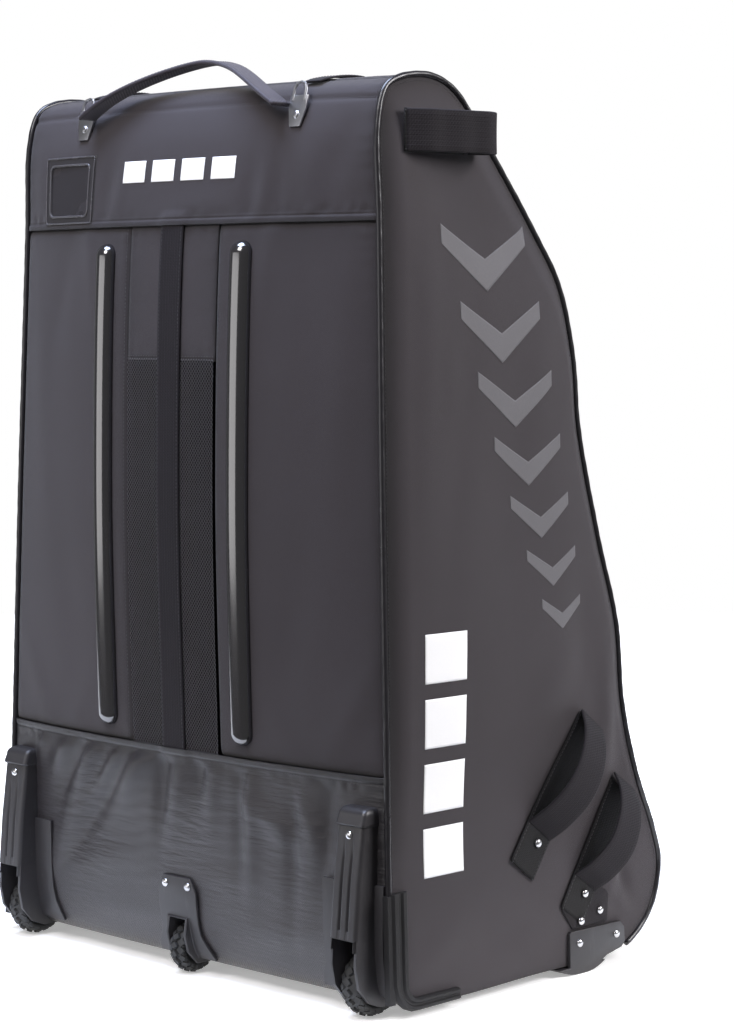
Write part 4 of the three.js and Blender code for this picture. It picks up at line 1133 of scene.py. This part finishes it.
def loop_pieces(loop):
    """Paths of a loop's base strap and bowed strap, with the way across them."""
    start, end = np.array(loop["from"], float), np.array(loop["to"], float)
    run = np.linalg.norm(end - start)
    way = (end - start) / run
    across = np.array([0, way[1], -way[0]])

    def at(along, rise):
        along = np.asarray(along, float)
        y, z = (start + way * along[..., None]).T
        on_y, on_z = (start + way * np.minimum(along, run)[..., None]).T
        width = np.linspace(-0.5, 0.5, 5)[:, None] * loop["width"]
        cloth_x = side_x(on_y + across[1] * width, on_z + across[2] * width).max(0)
        return np.column_stack([cloth_x + LOOP_LIFT + rise, y, z])

    base = at(np.linspace(0, run - LOOP_TAIL, 48), 0)
    along, rise = np.array(loop["bow"], float).T
    bow, slope = spline(at(along, rise), np.linspace(0, len(along) - 1, 72))
    return base, bow, np.cross(across, unit(slope)), across


# a darker copy of the webbing for the base straps: painted shade for the shadow under each bowed strap
black_webbing = ribbed("black_webbing", (0.004, 0.0036, 0.004), 0.85, sheen=0.0)
for side, sign in SIDES.items():
    for name, loop in LOOPS.items():
        base_path, bow_path, bow_out, across = loop_pieces(loop)
        base_out = np.broadcast_to((1, 0, 0), base_path.shape)
        base_strap = strap(
            f"{name}_base_{side}", base_path, base_out, loop["width"], WEBBING, across, sign)
        fit(base_strap, black_webbing, "webbing", f"{name}_{side}")
        bow_strap = strap(
            f"{name}_loop_{side}", bow_path, bow_out, loop["width"] - 1, WEBBING + 0.4, across, sign,
            sag=0.3)
        fit(bow_strap, webbing, "webbing")
        for inset in (-LOOP_STITCH, LOOP_STITCH):
            line = base_path + across * loop["width"] * inset + (WEBBING + 0.2, 0, 0)
            thread_lines.append(line * (sign, 1, 1))

# Loop patch
# A five-cornered patch of heavy black webbing cloth backs the lowest loop.
# It lies flat on the side cloth and is riveted through, above the foot's plate.
PATCH = np.array([(275, 79), (301, 119), (360, 87), (356, 53), (293, 53)], float)
PATCH_THICK, PATCH_LIFT = 2.2, 0.5
# size against the patch's outline, height above its underside
PATCH_RINGS = [
    (1, 0.2), (1, PATCH_THICK - 0.5), (0.975, PATCH_THICK), (0.6, PATCH_THICK), (0.3, PATCH_THICK)]
patch_edge = np.concatenate([
    np.linspace(corner, after, 11, endpoint=False)
    for corner, after in zip(PATCH, np.roll(PATCH, -1, axis=0))])
patch_middle = patch_edge.mean(0)
rings = []
for shrink, lift in PATCH_RINGS:
    flat = patch_middle + (patch_edge - patch_middle) * shrink
    rings.append(np.column_stack([half_width(flat[:, 1]) + lift + PATCH_LIFT, flat]))
rings = np.array(rings)
patch_uv = np.concatenate([rings[..., 1:].reshape(-1, 2), [patch_middle, patch_middle]])
for side, sign in SIDES.items():
    patch = make(f"loop_patch_{side}", *loft(rings[:, ::-1]), patch_uv, sign)
    fit(patch, webbing, "boot_cloth")

# Carry handle
# A stiffened strap of charcoal webbing arches from anchor to anchor and leans over the bag's top.
# Plated steel anchors hold it: a riveted plate with a wire ring, and a webbing tab over the top behind each.
HANDLE_RISE, HANDLE_LEAN, HANDLE_WIDTH, HANDLE_THICK = 57, 44, 28, 5
HANDLE_FOOT, HANDLE_CURVE = 986, 1.7
ANCHOR_X, ANCHOR_Z, ANCHOR_HALF, ANCHOR_GAP = 178, 978, 13, 3.3
TAB_WIDTH, TAB_STEPS = 25, 50
part = np.linspace(-1, 1, 120)
reach = ANCHOR_X - ANCHOR_HALF - ANCHOR_GAP
rise =HANDLE_RISE * (1 - np.abs(part) ** HANDLE_CURVE)
slope = -np.sign(part) * HANDLE_CURVE * np.abs(part) ** (HANDLE_CURVE - 1) * HANDLE_RISE
lean = HANDLE_LEAN * np.cos(part * np.pi / 2) ** 2
handle_path = np.column_stack([reach * part, lean - ANCHOR_HALF, HANDLE_FOOT + rise])
handle_out = np.column_stack([-slope, 0 * part, reach + 0 * part])
handle_webbing = ribbed("handle_webbing", (0.03, 0.0245, 0.034), 0.6, sheen=0.15)
plated_steel = grain("plated_steel", (0.46, 0.46, 0.48), 0.33, 300, 0.06, scuff=0.3, metallic=1.0)
handle = strap("carry_strap", handle_path, handle_out, HANDLE_WIDTH, HANDLE_THICK, (0, 1, 0), sag=0.4)
fit(handle, handle_webbing, "webbing", "carry_handle")
for y in edge_rows(HANDLE_WIDTH):
    thread_lines.append(handle_path + unit(handle_out) * (HANDLE_THICK + 0.1) + (0, y, 0))

tab_index = np.linspace(onward(rear_at(ANCHOR_Z), 34), onward(row("top_front"), -2), TAB_STEPS)
tab_lift = 0.5 + 3.5 * np.linspace(1, 0, TAB_STEPS) ** 2
tab_path = shell(tab_index, np.full(TAB_STEPS, ANCHOR_X), tab_lift)
for side, sign in SIDES.items():
    anchor = rounded_copy(f"handle_anchor_{side}", f"anchor_{side}", 0.5, angle=40)
    fit(anchor, plated_steel, "steel", f"handle_anchor_{side}")
    tab = strap(f"top_tab_{side}", tab_path, outward(tab_index), TAB_WIDTH, WEBBING, (1, 0, 0), sign)
    fit(tab, webbing, "webbing", f"top_strap_{side}")
    for x in edge_rows(TAB_WIDTH):
        line = shell(tab_index, np.full(TAB_STEPS, ANCHOR_X + x), tab_lift + WEBBING + 0.2)[8:]
        thread_lines.append(line * (sign, 1, 1))

# Name pocket
# A clear vinyl window in a black vinyl rim, sewn to the yoke on its left.
# The rim has a bead round its outside and another round the window.
POCKET = (-247, -148, 865, 945)
RIM, WINDOW_CORNER, WINDOW_LAP = 11, 7, 2
x0, x1, z0, z1 = POCKET
pocket_middle = np.array([x0 + x1, z0 + z1]) / 2
pocket_half = np.array([x1 - x0, z1 - z0]) / 2


def pocket_relief(x, z, edges):
    return 1.6 - 1.2 * np.exp(-((nearest(edges) / 0.8) ** 2))


def in_window(points):
    away = np.abs(points[..., ::2] - pocket_middle) - (pocket_half - RIM) + WINDOW_CORNER
    return np.hypot(*np.moveaxis(np.maximum(0, away), -1, 0)) < WINDOW_CORNER


rim_vinyl = grain("rim_vinyl", (0.03, 0.028, 0.031), 0.34, 500, 0.08, scuff=0.1)
rim = shell_panel(
    "pocket_rim", rear_at(z0), rear_at(z1), (110, 130), pocket_relief, steady(x0), steady(x1), thick=1.6,
    drop=in_window)
fit(rim, rim_vinyl, "piping", "id_pocket")


def pocket_bead(inset, corner, radius):
    """A bead of vinyl along a rounded frame, set in from the pocket's edge."""
    turn = np.linspace(0, 2 * np.pi, 120, endpoint=False) + 0.01
    way = np.column_stack([np.cos(turn), np.sin(turn)])
    frame_line = pocket_middle + np.sign(way) * (pocket_half - inset - corner) + corner * way
    frame_line = np.vstack([frame_line, frame_line[:1]])
    run = run_along(frame_line)
    at = np.linspace(0, run[-1], 220)
    x, z = (np.interp(at, run, places) for places in frame_line.T)
    return tube(shell(rear_at(z), x, 1.9), radius, 8, np.broadcast_to((0.0, -1.0, 0.0), (220, 3)))


# a lighter grey than the rim, partly the bead's own colour and partly a painted highlight along each bead
highlit_bead_vinyl = grain("highlit_bead_vinyl", (0.075, 0.072, 0.078), 0.26, 500, 0.03, scuff=0.1)
for name, inset, corner, radius in (("outer", 1.6, 3, 1.0), ("inner", RIM - 1.2, WINDOW_CORNER, 1.3)):
    fit(make(f"pocket_bead_{name}", *pocket_bead(inset, corner, radius)), highlit_bead_vinyl, "piping")
clear_vinyl, tree, face, place = new_material("clear_vinyl")
waves = noise(tree, place, 26)
feed(face, {
    "Base Color": (0.05, 0.047, 0.052, 1), "Alpha": 0.4, "Specular IOR Level": 0.5,
    "Normal": bumped(tree, waves, 0.4, 3), "Roughness": remap(tree, waves, 0.0, 1.0, 0.04, 0.2)})


def window_relief(x, z, edges):
    return 0.9 + 0.5 * np.sin(x / 21) * np.sin(z / 17)


sunk = RIM - WINDOW_LAP
window = shell_panel(
    "pocket_window", rear_at(z0 + sunk), rear_at(z1 - sunk), (30, 36), window_relief, steady(x0 + sunk),
    steady(x1 - sunk), thick=0.5)
fit(window, clear_vinyl, "clear_vinyl")

# Front zip and gear straps
# A coil zip runs up both edges of the sloping front and across below the brow, so the whole front opens.
# Two webbing straps cross it to hold leg gear on the outside.
ZIP_WIDTH, ZIP_INSET, ZIP_CORNER, ZIP_CLIMB = 12, 46, 70, 810
GEAR_WIDTH = 25
zip_half = BASE_WIDTH / 2 - ZIP_INSET
bend = np.linspace(0, np.pi / 2, 24)
climb = np.column_stack([np.full(90, -zip_half), np.linspace(0, ZIP_CLIMB - ZIP_CORNER, 91)[:-1]])
left_turn = np.column_stack([
    -zip_half + ZIP_CORNER * (1 - np.cos(bend)), ZIP_CLIMB - ZIP_CORNER * (1 - np.sin(bend))])
half_route = np.concatenate([climb, left_turn])
across_route = np.column_stack([
    np.linspace(half_route[-1, 0], -half_route[-1, 0], 62)[1:-1], np.full(60, ZIP_CLIMB)])
zip_route = np.concatenate([half_route, across_route, half_route[::-1] * (-1, 1)])
zip_index = onward(row("toe_high"), -zip_route[:, 1])
zip_narrow = (half_width(outline(zip_index)[0][:, 1]) - ZIP_INSET) / zip_half
zip_x = zip_route[:, 0] * zip_narrow


def shell_normal(index, x):
    """Outward direction of the shell at places on it."""
    across = shell(index, x + 1) - shell(index, x - 1)
    out = outline(index)[1]
    up = np.column_stack([np.zeros(len(out)), out[:, 1], -out[:, 0]])
    return unit(np.cross(across, up))


zip_out = shell_normal(zip_index, zip_x)
zip_path = shell(zip_index, zip_x, 1.6)
tape = strap("zip_tape", zip_path, zip_out, ZIP_WIDTH, 1.4)
fit(tape, webbing, "zip", "front_zip")

tooth_row, given, result = geometry_tree(
    "tooth_row", {"Spacing": "Float", "Size": "Vector", "Segments": "Int", "Rings": "Int"})
curve = node(tooth_row, "GeometryNodeMeshToCurve", {"Mesh": given["Geometry"]})
spaced = node(tooth_row, "GeometryNodeResampleCurve", {
    "Curve": curve.outputs["Curve"], "Length": given["Spacing"]}, mode="LENGTH")
bead = node(tooth_row, "GeometryNodeMeshUVSphere", {
    "Segments": given["Segments"], "Rings": given["Rings"], "Radius": 1.0})
along = turned(tooth_row, "X", node(tooth_row, "GeometryNodeInputTangent").outputs["Tangent"])
lying = turned(tooth_row, "Z", noted(tooth_row, "aim"), along, "X")
set_on(tooth_row, given, result, spaced.outputs["Curve"], bead.outputs["Mesh"], lying, given["Size"], True)

zip_nylon = grain("zip_nylon", (0.02, 0.02, 0.021), 0.4, 900, 0.05, scuff=0.1)
teeth = grow(guide("zip_teeth", [zip_path + zip_out * 1.7], aim=zip_out), tooth_row, {
    "Spacing": 2.2 * MM, "Size": (0.8 * MM, 2.8 * MM, 0.9 * MM), "Segments": 6, "Rings": 4,
    "Material": zip_nylon})
fit(teeth, None, "zip")

for name, index in (("upper", row("shoulder") - 0.18), ("lower", row("waist") + 0.48)):
    reach = float(half_width(outline(index)[0][1])) - 2
    x = np.linspace(-reach, reach, 120)
    index = np.full(120, index)
    gear_path = shell(index, x, 1.0 + 3.2 * ease(reach - np.abs(x), 0, 24))
    gear_strap = strap(f"gear_strap_{name}", gear_path, shell_normal(index, x), GEAR_WIDTH, WEBBING)
    fit(gear_strap, webbing, "webbing", f"pad_strap_{name}")

# Rivets
# Bright domed steel rivets hold the loops, the feet, the housings and the middle wheel's plate.
# One node tree sets a turned head at each place, square to the surface that it holds.
# place on the side, height over its cloth
SIDE_RIVETS = {
    "loop_rear": (233, 162, 5.4), "loop_front_a": (314, 92, 5.4), "loop_front_b": (342, 68, 3.2),
    "loop_front_c": (306, 61, 5.2), "foot_a": (302, 36, 5.5), "foot_b": (369, 36, 5.5),
}
PLATE_RIVETS, PLATE_LIFT = [(-19, 105), (19, 105)], 5.2
SIDE_LEAN = 0.036
HOUSING_RIVET, HOUSING_AIM = (286, -31.9, 203), (0, -0.99, 0.13)
RIVET_R, RIVET_HIGH = 5.0, 2.9

rivet_heads, given, result = geometry_tree("rivet_heads", {"Size": "Vector"})
ball = node(rivet_heads, "GeometryNodeMeshUVSphere", {"Segments": 20, "Rings": 12, "Radius": 1.0})
upright = turned(rivet_heads, "Z", noted(rivet_heads, "aim"))
set_on(rivet_heads, given, result, given["Geometry"], ball.outputs["Mesh"], upright, given["Size"], True)

places, aims, rivet_nodes = [], [], []
for side, sign in SIDES.items():
    for name, (y, z, over) in SIDE_RIVETS.items():
        places.append([(sign * (max(side_x(y, z), half_width(z)) + over), y, z)])
        aims.append((sign, 0, SIDE_LEAN))
        rivet_nodes.append(f"rivet_{name}_{side}")
    places.append([(sign * HOUSING_RIVET[0], *HOUSING_RIVET[1:])])
    aims.append(HOUSING_AIM)
    rivet_nodes.append(f"rivet_housing_{side}")
for x, z in PLATE_RIVETS:
    places.append([shell(rear_at(z), np.array(x), PLATE_LIFT)])
    aims.append((0, -1, 0))
rivets = grow(guide("rivets", places, aim=aims), rivet_heads, {
    "Size": (RIVET_R * MM, RIVET_R * MM, RIVET_HIGH * MM), "Material": bright_steel})
fit(rivets, None, "steel", *rivet_nodes)

# Printed marks
# Heat-set films on the cloth: grey chevrons and a column of plain white blocks down each side, and a row of
# blocks on the yoke. Each film follows the cloth under it and stands a hair above.
FILM = 0.25
# place of the lowest point, half width, height of the band
CHEVRONS = [
    (160, 785, 72, 36), (182, 706, 68, 33), (203, 634, 63, 30), (223, 568, 57, 27), (242, 508, 50, 24),
    (259, 453, 43, 21), (275, 403, 36, 18)]
CHEVRON_CLIMB, CHEVRON_TAPER = 0.72, 0.6
BLOCK_Y, BLOCK_HIGH, BLOCK_GAP, BLOCK_LOW, BLOCK_COUNT = (48, 112), 54, 17, 148, 4
YOKE_BLOCKS = [(-94, -56), (-44, -6), (6, 44), (56, 94)]
YOKE_BLOCK_Z = (911, 935)


def film(low, high, surface, steps):
    """A thin film over a surface, between a lower and an upper line of flat places."""
    stops = range(len(low))
    at = np.linspace(0, stops[-1], steps[1])
    low, high = (np.column_stack([np.interp(at, stops, k) for k in zip(*line)]) for line in (low, high))
    flat = low + (high - low) * np.linspace(0, 1, steps[0])[:, None, None]
    points, faces, grid = wall(surface(flat[..., 0], flat[..., 1]), FILM)
    return points, faces, flat.reshape(-1, 2)[grid]


def block(x0, x1, z0, z1, surface):
    return film([(x0, z0), (x1, z0)], [(x0, z1), (x1, z1)], surface, (20, 24))


def join(films):
    """One set of points, faces and flat places from several films."""
    points, faces, flats, start = [], [], [], 0
    for p, f, flat in films:
        points.append(p)
        faces += [[k + start for k in face] for face in f]
        flats.append(flat)
        start += len(p)
    return np.concatenate(points), faces, np.concatenate(flats)


def on_side(y, z):
    return np.stack([side_x(y, z) + 0.3, y, z], -1)


def on_yoke(x, z):
    return shell(rear_at(z), x, folds(x, z, YOKE_FOLDS) + 0.45)


grey_film = cloth("grey_film", (0.106, 0.102, 0.109), 0.62, (900, 900), 0.15, sheen=0.1)
white_film = cloth(
    "white_film", (0.86, 0.86, 0.86), 0.55, (900, 900), 0.12, mottle=0.04, dust=0.15, sheen=0.0)
chevrons = []
for y, z, reach, high in CHEVRONS:
    climb = z + reach * CHEVRON_CLIMB
    tip = climb + high * CHEVRON_TAPER
    low = [(y - reach, climb), (y, z), (y + reach, climb)]
    top = [(y - reach, tip), (y, z + high), (y + reach, tip)]
    chevrons.append(film(low, top, on_side, (14, 61)))
blocks = []
for k in range(BLOCK_COUNT):
    low = BLOCK_LOW + k * (BLOCK_HIGH + BLOCK_GAP)
    blocks.append(block(*BLOCK_Y, low, low + BLOCK_HIGH, on_side))
for side, sign in SIDES.items():
    fit(make(f"grey_marks_{side}", *join(chevrons), side=sign), grey_film, "shell_cloth")
    fit(make(f"white_marks_{side}", *join(blocks), side=sign), white_film, "shell_cloth")
yoke_films = [block(*ends, *YOKE_BLOCK_Z, on_yoke) for ends in YOKE_BLOCKS]
fit(make("yoke_marks", *join(yoke_films)), white_film, "shell_cloth")

# Stitching
# Bonded nylon thread in even lockstitches follows every seam, strap edge and sewn channel noted above.
STITCH_PITCH, STITCH_LENGTH, STITCH_THICK = 4.4, 3.2, 0.62
thread = grain("thread", (0.05, 0.048, 0.052), 0.5, 900, 0.02, scuff=0.0)
stitch_aims = np.tile((0.0, 0.0, 1.0), (sum(len(line) for line in thread_lines), 1))
stitches = grow(guide("stitches", thread_lines, aim=stitch_aims), tooth_row, {
    "Spacing": STITCH_PITCH * MM, "Segments": 5, "Rings": 4, "Material": thread,
    "Size": (STITCH_LENGTH / 2 * MM, STITCH_THICK / 2 * MM, STITCH_THICK / 2 * MM)})
fit(stitches, None, "webbing")

# Floor, light and camera
# A white floor disc, faintly lit from within, in a white room. A low wide lamp in front draws the shine on
# the rails, a key lamp stands high in front, one beside the right flank, and a cool one over the top.
# The camera stands where the photograph was taken from.
EYE = (2.311, -2.297, 0.766)
AHEAD = Vector((-0.6947, 0.7154, -0.0744))
LENS, SENSOR = 95.67, 36
FLOOR_X, FLOOR_Y, FLOOR_R, FLOOR_SIDES = -1.1, 1.25, 2.1, 96
WHITE = (1, 1, 1, 1)

turn = np.arange(FLOOR_SIDES) * 2 * np.pi / FLOOR_SIDES
floor_rim = np.column_stack([FLOOR_X + FLOOR_R * np.cos(turn), FLOOR_Y + FLOOR_R * np.sin(turn), 0 * turn])
floor_mesh = bpy.data.meshes.new("floor")
floor_mesh.from_pydata(floor_rim.tolist(), [], [list(range(FLOOR_SIDES))])
floor = link("floor", floor_mesh)
floor_paint = grain("floor_paint", (0.9, 0.9, 0.89), 0.7, 40, 0.02, scuff=0.0)
floor_mesh.materials.append(floor_paint)
tree = floor_paint.node_tree
place = node(tree, "ShaderNodeTexCoord").outputs["Object"]
away = node(tree, "ShaderNodeVectorMath", {0: place}, operation="LENGTH").outputs["Value"]
glow = remap(tree, away, 0.3, 1.0, 0.34, 0.75, "SMOOTHSTEP")
feed(tree.nodes["Principled BSDF"], {"Emission Color": WHITE, "Emission Strength": glow})

world = bpy.data.worlds.new("studio")
bpy.context.scene.world = world
world.use_nodes = True
sky = world.node_tree
way = node(sky, "ShaderNodeTexCoord").outputs["Generated"]
toward = node(sky, "ShaderNodeVectorMath", {0: way, 1: AHEAD}, operation="DOT_PRODUCT").outputs["Value"]
backdrop = remap(sky, toward, 0.4, 0.8, 0.14, 0.35, "SMOOTHSTEP")
seen = node(sky, "ShaderNodeLightPath").outputs["Is Camera Ray"]
shown = node(sky, "ShaderNodeMix", {"Factor": seen, "A": backdrop, "B": 1.0}).outputs["Result"]
feed(sky.nodes["Background"], {"Color": WHITE, "Strength": shown})

# name: place, size across and up, power, colour
LAMPS = {
    "strip": ((-0.83, -2.88, 0.7), (3.3, 1.28), 24, (1.0, 0.98, 0.99)),
    "key": ((0.5, -2.7, 3.0), (1.5, 1.5), 92, (1.0, 0.97, 0.98)),
    "right": ((3.0, 1.6, 2.3), (1.8, 1.8), 172, (1.0, 0.98, 1.0)),
    "top": ((-0.2, -0.5, 3.2), (1.6, 1.6), 150, (0.64, 0.74, 1.0)),
}
LIT_PLACE = Vector((0, 0, 0.5))
for name, (place, size, power, colour) in LAMPS.items():
    lamp = bpy.data.lights.new(name, "AREA")
    lamp.shape = "RECTANGLE"
    lamp.size, lamp.size_y = size
    lamp.energy = power
    lamp.color = colour
    light = link(name, lamp)
    light.location = place
    light.rotation_mode = "QUATERNION"
    light.rotation_quaternion = (LIT_PLACE - Vector(place)).to_track_quat("-Z", "Y")

camera = link("camera", bpy.data.cameras.new("camera"))
camera.data.lens = LENS
camera.data.sensor_width = SENSOR
camera.location = EYE
camera.rotation_mode = "QUATERNION"
camera.rotation_quaternion = AHEAD.to_track_quat("-Z", "Y")
bpy.context.scene.camera = camera
bpy.context.scene.view_settings.view_transform = "Standard"
